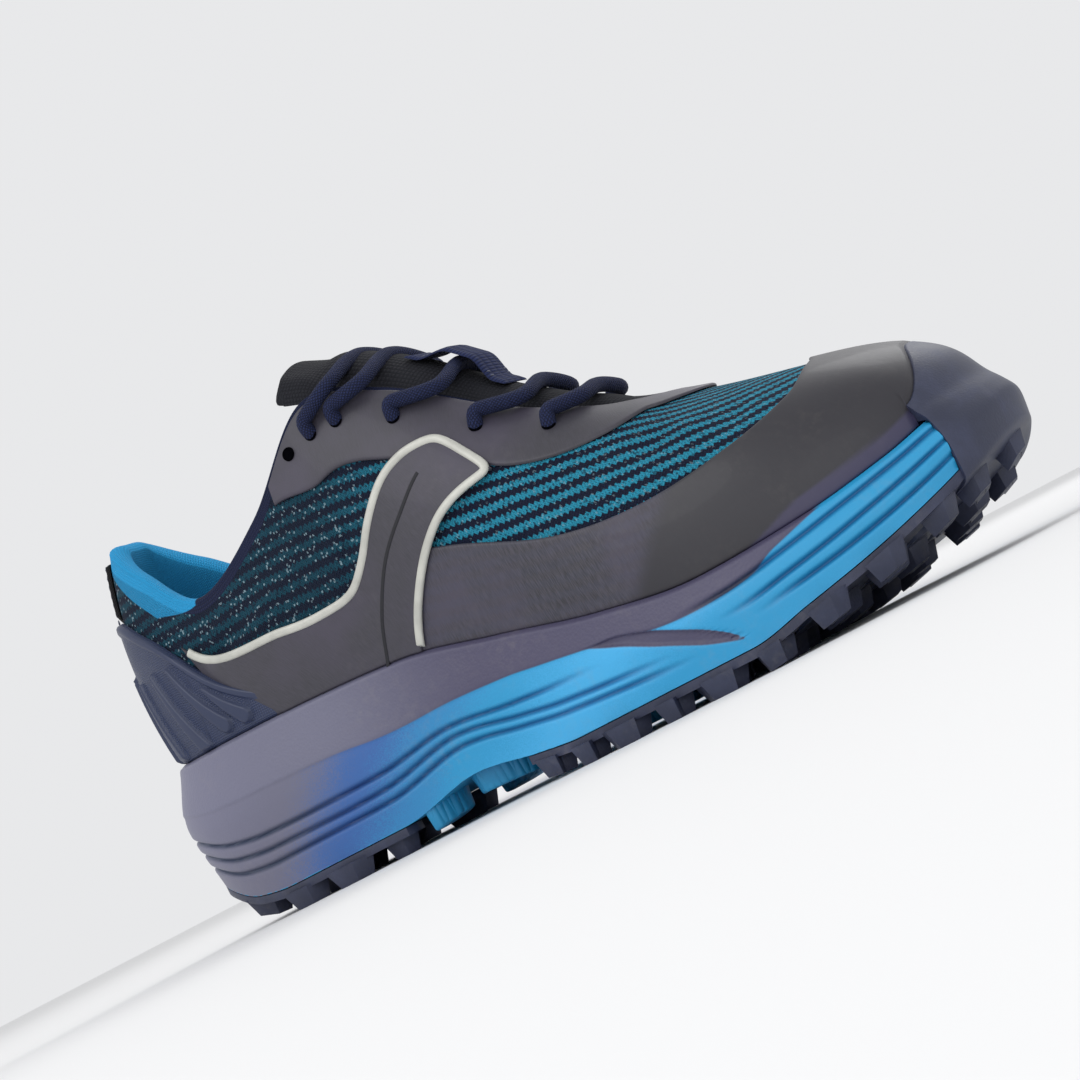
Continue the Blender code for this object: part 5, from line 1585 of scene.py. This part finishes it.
FOAM_BLOCKS = [
    [Spot(0.330, 0.04), Spot(0.352, 0.06), Spot(0.362, 0.20), Spot(0.357, 0.34), Spot(0.330, 0.34)],
    [Spot(0.384, -0.01), Spot(0.405, 0.00), Spot(0.446, 0.19), Spot(0.440, 0.37), Spot(0.397, 0.37)],
    [Spot(0.462, -0.11), Spot(0.500, -0.13), Spot(0.563, 0.16), Spot(0.557, 0.36), Spot(0.500, 0.36),
     Spot(0.490, 0.17)],
    [Spot(0.533, -0.20), Spot(0.594, -0.22), Spot(0.648, 0.07), Spot(0.620, 0.14), Spot(0.588, 0.13)],
    [Spot(0.332, -0.38), Spot(0.350, -0.37), Spot(0.369, -0.22), Spot(0.345, -0.20), Spot(0.332, -0.26)],
    [Spot(0.387, -0.36), Spot(0.440, -0.33), Spot(0.462, -0.22), Spot(0.410, -0.18), Spot(0.389, -0.19)],
]

# Lugs: place, size as a share of LUG_LENGTH and LUG_WIDTH, and turn in degrees
Lug = namedtuple("Lug", "along across long wide turn")
FORE_LUGS = [
    Lug(0.492, -0.385, 1.0, 0.8, 160), Lug(0.537, -0.415, 0.9, 0.8, 160),
    Lug(0.587, -0.460, 1.2, 0.8, 170), Lug(0.585, 0.370, 0.8, 0.9, 10),
    Lug(0.640, -0.460, 0.9, 0.8, 160), Lug(0.693, -0.465, 1.3, 0.8, 170),
    Lug(0.632, 0.285, 1.1, 1.0, 10), Lug(0.662, -0.175, 1.0, 1.1, 200),
    Lug(0.656, 0.410, 0.9, 0.8, 5), Lug(0.705, 0.285, 1.0, 1.1, 10),
    Lug(0.707, 0.045, 1.0, 1.1, 0), Lug(0.735, -0.255, 1.1, 1.1, 0),
    Lug(0.719, 0.420, 1.0, 0.9, 5), Lug(0.752, -0.465, 0.9, 0.8, 170),
    Lug(0.770, 0.290, 1.1, 1.1, 0), Lug(0.778, -0.005, 1.0, 1.1, 0),
    Lug(0.802, -0.270, 1.1, 1.1, 0), Lug(0.818, -0.450, 0.9, 0.8, 0),
    Lug(0.826, 0.240, 0.9, 1.0, 0), Lug(0.790, 0.430, 1.1, 0.8, -5),
    Lug(0.850, -0.025, 1.0, 1.1, 0), Lug(0.862, -0.290, 1.0, 1.0, 0),
    Lug(0.876, -0.400, 0.9, 0.8, 10), Lug(0.882, 0.250, 1.0, 1.0, -10),
    Lug(0.862, 0.390, 0.9, 0.8, -15), Lug(0.946, -0.130, 0.8, 1.0, 0),
    Lug(0.913, 0.075, 1.0, 1.1, 0), Lug(0.920, -0.265, 0.9, 0.9, 15),
    Lug(0.934, 0.220, 0.9, 0.9, -15), Lug(0.972, 0.050, 0.7, 1.0, 0),
]
HEEL_LUGS = [
    Lug(0.052, -0.120, 0.8, 1.0, 0), Lug(0.052, 0.110, 0.8, 1.0, 0),
    Lug(0.098, -0.250, 1.0, 1.0, 15), Lug(0.110, -0.075, 1.0, 1.1, 0),
    Lug(0.110, 0.095, 1.0, 1.1, 0), Lug(0.100, 0.255, 1.0, 1.0, -15),
    Lug(0.168, -0.330, 1.1, 1.0, 0), Lug(0.172, -0.165, 1.1, 1.1, 0),
    Lug(0.165, 0.020, 1.1, 1.1, 0), Lug(0.180, 0.195, 1.1, 1.1, 0),
    Lug(0.170, 0.335, 1.0, 0.9, 0), Lug(0.235, -0.365, 1.2, 0.9, 0),
    Lug(0.288, -0.305, 0.8, 0.8, 0), Lug(0.265, 0.180, 1.2, 1.1, 0),
    Lug(0.252, 0.325, 1.1, 0.9, 0),
]


def rubber_top(x):
    return tread_height(x) - GAP


def rubber_bottom(x):
    return tread_height(x) - GAP - RUBBER


def plan(spots):
    """Plan outline in metres, with its corners cut softer."""
    points = np.array([(spot.along * LENGTH - CENTRE, spot.across * BALL_WIDTH) for spot in spots])
    after = np.roll(points, -1, axis=0)
    return np.stack((mix(points, after, 0.25), mix(points, after, 0.75)), axis=1).reshape(-1, 2)


def blocks_mesh(name, outlines):
    """Blocks from (root points, tip points) pairs, each a closed loop."""
    points, faces = [], []
    for root, tip in outlines:
        start, count = len(points), len(root)
        points += [tuple(map(float, point)) for point in (*root, *tip)]
        faces.append([start + i for i in range(count)])
        faces.append([start + count + i for i in reversed(range(count))])
        for i in range(count):
            j = (i + 1) % count
            faces.append([start + j, start + i, start + count + i, start + count + j])
    mesh = bpy.data.meshes.new(name)
    mesh.from_pydata(points, [], faces)
    face_out(mesh)
    return mesh


def carved(mesh, cuts, bevel, segments=2):
    """A mesh after exact Booleans with (operation, cutter mesh) pairs and a bevel."""
    body = new_object("carving", mesh)
    linked = [body]
    for operation, cutter in cuts:
        linked.append(new_object("carving", cutter))
        modifier = body.modifiers.new("cut", "BOOLEAN")
        modifier.operation, modifier.solver, modifier.object = operation, "EXACT", linked[-1]
    modifier = body.modifiers.new("edges", "BEVEL")
    modifier.width, modifier.segments = bevel, segments
    modifier.limit_method, modifier.angle_limit = "ANGLE", radians(EDGE_ANGLE)
    made = as_mesh(body)
    for one in linked:
        bpy.data.objects.remove(one)
    return made


def prisms(outlines):
    """Upright cutters that reach past the sole's underside and side."""
    low, high = -0.01, 0.075
    return blocks_mesh("prism", [([(x, y, low) for x, y in points], [(x, y, high) for x, y in points])
                                 for points in outlines])


def plate_mesh(edge, channels):
    """Rubber plate under the foam, cut to its outline, less its channels."""
    u = round_columns()
    rings = []
    for height in (rubber_bottom, rubber_top):
        ring = side_point(u, 0.0)
        ring[:, 2] = height(ring[:, 0])
        rings.append(ring)
    points, faces = [], []
    for part in (lid(rings[0], rubber_bottom), sheet(np.array(rings)), lid(rings[1], rubber_top)):
        faces += quads_of(*part.points.shape[:2], len(points)).tolist()
        points += part.points.reshape(-1, 3).tolist()
    mesh = bpy.data.meshes.new("plate")
    mesh.from_pydata(points, [], faces)
    face_out(mesh, WELD)
    cuts = [("INTERSECT", prisms([plan(edge)]))]
    if channels:
        cuts.append(("DIFFERENCE", prisms([plan(spots) for spots in channels])))
    return carved(mesh, cuts, RUBBER_BEVEL)


# Plan of a lug, in shares of its half length and half width
ARROW = ((1.0, 0.0), (0.35, 0.95), (-0.95, 0.85), (-0.55, 0.0), (-0.95, -0.85), (0.35, -0.95))


def turned(lug, places):
    """Places on a lug, in shares of its half length and width, as plan points."""
    turn = radians(lug.turn)
    x = np.array([place[0] for place in places]) * lug.long * LUG_LENGTH / 2
    y = np.array([place[1] for place in places]) * lug.wide * LUG_WIDTH / 2
    return np.stack((lug.along * LENGTH - CENTRE + x * cos(turn) - y * sin(turn),
                     lug.across * BALL_WIDTH + x * sin(turn) + y * cos(turn)), axis=-1)


def lugs_mesh(lugs, sizes):
    """Arrow lugs with a chevron sipe across each tip."""
    blocks, sipes = [], []
    for lug in lugs:
        spots = turned(lug, ARROW)
        middle = spots.mean(axis=0)
        root = [(x, y, rubber_bottom(x) + RUBBER / 3) for x, y in spots]
        tip = [(x, y, rubber_bottom(x) - LUG_DEPTH) for x, y in middle + (spots - middle) * LUG_DRAFT]
        blocks.append((root, tip))
        half = sizes.sipe / LUG_LENGTH
        for way in (-1, 1):
            line = turned(lug, ((0.28 - half, 0.0), (0.28 + half, 0.0),
                                (-0.08 + half, way * 0.46), (-0.08 - half, way * 0.46)))
            bottom = [(x, y, rubber_bottom(x) - LUG_DEPTH - 0.001) for x, y in line]
            top = [(x, y, rubber_bottom(x) - LUG_DEPTH + SIPE_DEPTH) for x, y in line]
            sipes.append((bottom, top))
    cuts = [("DIFFERENCE", blocks_mesh("sipes", sipes))]
    return carved(blocks_mesh("lugs", blocks), cuts, RUBBER_BEVEL)


def make_bumper(sizes):
    """Rubber that turns up over the toe."""
    u = np.linspace(HALF - BUMPER_SPAN, HALF + BUMPER_SPAN, 181)
    thick = BUMPER * bumper_share(u)
    under, proud = -0.007, 0.0005
    outer, inner = [], []
    for out in (under, proud):
        point = side_point(u, 0.0, out)
        point[:, 2] = rubber_bottom(point[:, 0]) - proud
        outer.append(point)
    for out in (np.full_like(u, under), -thick):
        point = side_point(u, 0.0, out)
        point[:, 2] = rubber_top(point[:, 0]) - proud
        inner.append(point)
    for level in (0.25, 0.55, 0.85):
        outer.append(side_point(u, level, proud * (1 - level)))
        inner.append(side_point(u, level, -thick))
    for rows, out, lift in ((outer, 0.0 * u, 0.0015), (inner, -thick, 0.0005)):
        point = side_point(u, 1.0, out)
        point[:, 2] += lift
        rows.append(point)
    low, high = level_share(u, rim_height(u) + 0.0016), bumper_high(u)
    for share in np.linspace(0.0, 1.0, 5):
        outer.append(skin_point(u, mix(low + 0.02, high, share), BUMPER * mix(1.2, 0.6, share)))
        inner.append(skin_point(u, mix(low, high, share), CURVED_GAP))
    outer, inner = eased(refined(outer, 8), 10, 60), refined(inner, 8)
    sheets = [sheet(outer), sheet(inner), strip(outer[0], inner[0], count=1),
              strip(outer[-1], inner[-1], outer[-4], 0.0006),
              strip(outer[:, 0], inner[:, 0], count=1), strip(outer[:, -1], inner[:, -1], count=1)]
    return build("toe_bumper_rubber", sheets, ["rubber"], ["outsole_forefoot"], 60)


def make_outsole(sizes):
    for node, edge, channels, lugs in (("outsole_heel", HEEL_EDGE, [], HEEL_LUGS),
                                       ("outsole_forefoot", FORE_EDGE, CHANNELS, FORE_LUGS)):
        for label, mesh in (("_plate", plate_mesh(edge, channels)), ("_lugs", lugs_mesh(lugs, sizes))):
            settle(node + label, mesh, ["rubber"], [node], EDGE_ANGLE)
    make_bumper(sizes)


def make_foam_blocks(sizes):
    loops = []
    for spots in FOAM_BLOCKS:
        points = plan(spots)
        middle = points.mean(axis=0)
        root = [(x, y, tread_height(x) + RUBBER) for x, y in points]
        tip = [(x, y, tread_height(x) - BLOCK_DEPTH + RUBBER / 2)
               for x, y in middle + (points - middle) * BLOCK_DRAFT]
        loops.append((root, tip))
    mesh = carved(blocks_mesh("foam_blocks", loops), [], FOAM_BEVEL, 3)
    for label in ("block", "under"):
        put_mark(mesh, label, np.ones(len(mesh.vertices)))
    return settle("midsole_waist_blocks", mesh, ["foam"], [], 50)


DIVE_BELOW = LACE * 0.75             # how far under a bar's end its eyelet lies
INSIDE_RUN = WALL + LACE * 0.30      # depth of the lace's middle where it runs inside


def bar_points(number):
    """Centre line of one lace bar, from its lateral to its medial eyelet."""
    u = EYELETS[number]
    lift = GAP + FILM + LACE * 0.62
    eyelet, edge = (u, float(throat_share(u, EYELET_INSET))), (u + LACE_LEAN, 1.0)
    left = [skin_point(*place, lift) for place in (eyelet, edge)]
    right = [skin_point(SPANS - place[0], place[1], lift) for place in (edge, eyelet)]
    crest = (left[1] + right[0]) / 2
    crest[2] += float(tongue_crown(edge[0])) + LACE_RISE - LACE_SETTLE
    return refined(np.array(left + [crest] + right), 10)


def eyelet_dive(number, side):
    """From a bar's end down through the wall, and the place inside where it runs on."""
    u = EYELETS[number]
    v, lower = (float(throat_share(u, EYELET_INSET + more)) for more in (0.0, DIVE_BELOW))
    place = on_side(u, side)
    return np.array([skin_point(place, lower, LACE * 0.30), skin_point(place, lower, -WALL / 2),
                     skin_point(place, v, -INSIDE_RUN)])


def under_run(first, last, side):
    """Inside the throat, from one eyelet to a further one."""
    us = np.linspace(EYELETS[first], EYELETS[last], 5)[1:-1]
    return skin_point(on_side(us, side), throat_share(us, EYELET_INSET), -INSIDE_RUN)


def lace_route():
    """One lace: bars 1, 3, 5, 4 and 2 in turn, with straight runs inside between them."""
    order = (0, 2, 4, 3, 1)
    side, parts = -1, []
    for step, number in enumerate(order):
        bar = bar_points(number)
        bar = bar if side < 0 else bar[::-1]
        parts += [eyelet_dive(number, side)[::-1], bar]
        side = -side
        parts.append(eyelet_dive(number, side))
        if step + 1 < len(order):
            parts.append(under_run(number, order[step + 1], side))
    parts.append(under_run(1, 0, side)[-1:])
    return np.concatenate(parts)


def evenly(path, step):
    """Points at even distances along a path."""
    run = run_along(path)
    places = np.linspace(0.0, run[-1], int(run[-1] / step) + 1)
    return np.stack([np.interp(places, run, path[:, k]) for k in range(3)], axis=-1)


def softened(path, rounds):
    for _ in range(rounds):
        path = np.concatenate((path[:1], (path[:-2] + 2 * path[1:-1] + path[2:]) / 4, path[-1:]))
    return path


def make_lace(sizes):
    path = softened(evenly(lace_route(), 0.0008), 5)
    bars = [f"lace_bar_{number + 1}" for number in range(len(EYELETS))]
    return build("lace_cord", cord_sheets(path, LACE / 2), ["lace"], bars, 80)


# Section of an eyelet's rim: share of its radius, and height over the film
EYELET_RIM = ((0.0, 0.0002), (0.5, 0.0002), (0.8, 0.0003), (1.0, 0.0006), (1.12, 0.0005), (1.2, 0.0))
SPARE_EYELET = 4.72


def make_eyelets(sizes):
    """A dished disc of painted shade at each eyelet, for the dark inside of its opening, also at the unused
    top pair.
    """
    sheets = []
    angles = np.linspace(0.0, 2 * pi, 33)[None, :, None]
    shares, lift = np.array(EYELET_RIM).T[:, :, None, None]
    for u in (SPARE_EYELET, *EYELETS):
        v = float(throat_share(u, EYELET_INSET + (DIVE_BELOW if u in EYELETS else 0.0)))
        for side in (-1, 1):
            place = on_side(u, side)
            centre, normal = skin_point(place, v, GAP + FILM + 0.0003), shell_normal(place, np.array(v))
            first = unit(np.cross(normal, (0.0, 0.0, 1.0)))
            second = np.cross(normal, first)
            spoke = (first * np.cos(angles) + second * np.sin(angles)) * sizes.eyelet * shares
            sheets.append(sheet(centre + spoke + normal * lift))
            sheets.append(sheet(centre + spoke - normal * 0.0004 * (lift > 0)))
    build("eyelet_holes", sheets, ["hole_shade"], [], 60)


class ShoeColours(bpy.types.PropertyGroup):
    """Base colours, in linear light."""


def colour_property(name, description, default):
    return bpy.props.FloatVectorProperty(name=name, description=description, default=default,
                                         subtype="COLOR", size=3, min=0.0, max=1.0)


ShoeColours.__annotations__ = {
    "knit_navy": colour_property("Knit ground", "Dark yarn of the upper", (0.006, 0.011, 0.042)),
    "knit_cyan": colour_property("Knit rows", "Light yarn of the upper in front", (0.025, 0.33, 0.50)),
    "knit_teal": colour_property("Knit rows, rear", "Light yarn at the rear", (0.006, 0.065, 0.105)),
    "film": colour_property("Film", "Welded films on the upper", (0.038, 0.036, 0.048)),
    "piping": colour_property("Piping", "Silver lines on the side", (0.56, 0.56, 0.51)),
    "foam_heel": colour_property("Foam, heel", "Midsole at the heel", (0.17, 0.17, 0.25)),
    "foam_blue": colour_property("Foam, waist", "Midsole where it turns blue", (0.030, 0.115, 0.36)),
    "foam_cyan": colour_property("Foam, front", "Midsole from the waist on", (0.014, 0.30, 0.58)),
    "foam_rim": colour_property("Foam rim", "Band along the rim in front", (0.062, 0.056, 0.110)),
    "rubber": colour_property("Rubber", "Outsole and toe bumper", (0.022, 0.027, 0.056)),
    "counter": colour_property("Counter", "Moulded heel counter", (0.016, 0.026, 0.070)),
    "lining": colour_property("Lining", "Lining and insole", (0.02, 0.30, 0.60)),
    "lace": colour_property("Lace", "Braided lace", (0.016, 0.024, 0.080)),
}


def length_property(name, description, default):
    return bpy.props.FloatProperty(name=name, description=description, default=default,
                                   min=0.0, unit="LENGTH", subtype="DISTANCE")


class ShoeSizes(bpy.types.PropertyGroup):
    """Small sizes of the surface relief."""


ShoeSizes.__annotations__ = {
    "groove_depth": length_property("Groove depth", "Grooves in the side of the foam", 0.0013),
    "groove_width": length_property("Groove half width", "Half width of those grooves", 0.0008),
    "band": length_property("Band relief", "How proud the rim's band stands", 0.0004),
    "leaf": length_property("Leaf depth", "How deep the dark leaf is set in", 0.0009),
    "strip": length_property("Toe strip", "Height of the lighter foot of the film in front", 0.0050),
    "border": length_property("Counter border", "Raised border of the heel counter", 0.0007),
    "piping": length_property("Piping width", "Width of the silver lines", 0.0028),
    "sipe": length_property("Sipe width", "Half width of the cut in each lug", 0.00035),
    "tongue_fill": length_property("Tongue padding", "Extra padding under the lace", 0.0024),
    "seam": length_property("Seam width", "Width of the pressed line on the side film", 0.0012),
    "stitch": length_property("Stitch length", "Length of one stitch", 0.0022),
    "thread": length_property("Thread", "Thickness of the stitching thread", 0.0006),
    "eyelet": length_property("Eyelet radius", "Radius of an eyelet hole", 0.0018),
}


class ShoePiece:
    """Shared by the operators that model the shoe: run each maker in turn."""
    bl_options = {"REGISTER"}
    makers = ()

    def execute(self, context):
        for maker in self.makers:
            maker(context.scene.shoe_sizes)
        return {"FINISHED"}


class SHOE_OT_upper(ShoePiece, bpy.types.Operator):
    """Model the knitted upper with its rolled collar and lining"""
    bl_idname, bl_label, makers = "shoe.upper", "Upper", (make_upper,)


class SHOE_OT_films(ShoePiece, bpy.types.Operator):
    """Model the welded films, the silver piping, the pressed seams and the painted shade in the eyelet
    holes
    """
    bl_idname, bl_label = "shoe.films", "Films"
    makers = (make_rand, make_side_films, make_eyestay, make_piping, make_side_seams, make_eyelets)


class SHOE_OT_heel(ShoePiece, bpy.types.Operator):
    """Model the heel counter and the pull tape"""
    bl_idname, bl_label, makers = "shoe.heel", "Heel counter", (make_counter, make_tape)


class SHOE_OT_inside(ShoePiece, bpy.types.Operator):
    """Model the padded tongue and the insole"""
    bl_idname, bl_label, makers = "shoe.inside", "Tongue and insole", (make_tongue, make_insole)


class SHOE_OT_sole(ShoePiece, bpy.types.Operator):
    """Model the foam midsole and the rubber outsoles"""
    bl_idname, bl_label = "shoe.sole", "Sole"
    makers = (make_midsole, make_foam_blocks, make_outsole)


class SHOE_OT_lace(ShoePiece, bpy.types.Operator):
    """Run the lace through the eyelets, with the keeper and the stitches"""
    bl_idname, bl_label, makers = "shoe.lace", "Lace", (make_lace, make_keeper, make_stitches)


AZIMUTH = 27.2            # degrees from the lateral side towards the toe
ROLL = 27.5
TARGET = Vector((0.005, 0.0, 0.065))
CAMERA_HEIGHT = 0.012
CAMERA_REACH = 0.68
LENS = 76.2               # millimetres


def area_light(name, place, power, size):
    """A round lamp that faces the shoe."""
    lamp = bpy.data.lights.new(name, "AREA")
    lamp.energy, lamp.shape, lamp.size = power, "DISK", size
    made = new_object(name, lamp)
    made.location = place
    made.rotation_euler = (TARGET - Vector(place)).to_track_quat("-Z", "Y").to_euler()


class SHOE_OT_stage(bpy.types.Operator):
    """Set the floor, the lights and the camera"""
    bl_idname, bl_label, bl_options = "shoe.stage", "Stage", {"REGISTER"}

    def execute(self, context):
        mesh = bpy.data.meshes.new("studio_floor")
        corners = [(-4, -4, 0), (4, -4, 0), (4, 4, 0), (-4, 4, 0)]
        mesh.from_pydata(corners, [], [(0, 1, 2, 3)])
        mesh.materials.append(finish_for("floor"))
        ground = new_object("studio_floor", mesh)
        azimuth = radians(AZIMUTH)
        away = Vector((sin(azimuth), -cos(azimuth), 0.0))
        place = TARGET + away * CAMERA_REACH
        place.z = CAMERA_HEIGHT
        forward = (TARGET - place).normalized()
        right = forward.cross(Vector((0, 0, 1))).normalized()
        up = right.cross(forward)
        roll = radians(ROLL)
        across, above = right * cos(roll) - up * sin(roll), up * cos(roll) + right * sin(roll)
        lens = bpy.data.cameras.new("camera")
        lens.lens, lens.sensor_width, lens.clip_start = LENS, 36.0, 0.005
        camera = new_object("camera", lens)
        camera.matrix_world = Matrix((across, above, -forward)).transposed().to_4x4()
        camera.location = place
        context.scene.camera = camera
        area_light("key", (-0.5, -1.1, 1.2), 6.0, 0.9)
        area_light("front", (0.9, -1.2, 0.5), 2.0, 0.8)
        area_light("rim", (0.3, 1.1, 1.0), 5.0, 0.8)
        area_light("low", (0.1, -0.9, 0.10), 0.8, 0.7)
        world = bpy.data.worlds.new("studio")
        world.use_nodes = True
        sky = world.node_tree.nodes["Background"].inputs
        sky["Color"].default_value, sky["Strength"].default_value = (0.95, 0.955, 0.97, 1.0), 0.85
        context.scene.world = world
        context.scene.view_settings.view_transform = "Standard"
        return {"FINISHED"}


class SHOE_PT_panel(bpy.types.Panel):
    """Buttons for each part of the shoe"""
    bl_label, bl_idname, bl_category = "Trail Running Shoe", "SHOE_PT_panel", "Shoe"
    bl_space_type, bl_region_type = "VIEW_3D", "UI"

    def draw(self, context):
        for operator in OPERATORS:
            self.layout.operator(operator.bl_idname)
        for group in (context.scene.shoe_colours, context.scene.shoe_sizes):
            for name in group.__annotations__:
                self.layout.prop(group, name)


OPERATORS = (SHOE_OT_upper, SHOE_OT_films, SHOE_OT_heel, SHOE_OT_inside, SHOE_OT_sole, SHOE_OT_lace,
             SHOE_OT_stage)
CLASSES = (ShoeColours, ShoeSizes, *OPERATORS, SHOE_PT_panel)


def register():
    for one in CLASSES:
        bpy.utils.register_class(one)
    bpy.types.Scene.shoe_colours = bpy.props.PointerProperty(type=ShoeColours)
    bpy.types.Scene.shoe_sizes = bpy.props.PointerProperty(type=ShoeSizes)


def unregister():
    del bpy.types.Scene.shoe_colours
    del bpy.types.Scene.shoe_sizes
    for one in reversed(CLASSES):
        bpy.utils.unregister_class(one)


def main():
    register()
    for operator in (bpy.ops.shoe.upper, bpy.ops.shoe.films, bpy.ops.shoe.heel, bpy.ops.shoe.inside,
                     bpy.ops.shoe.sole, bpy.ops.shoe.lace, bpy.ops.shoe.stage):
        operator()


if __name__ == "__main__":
    main()
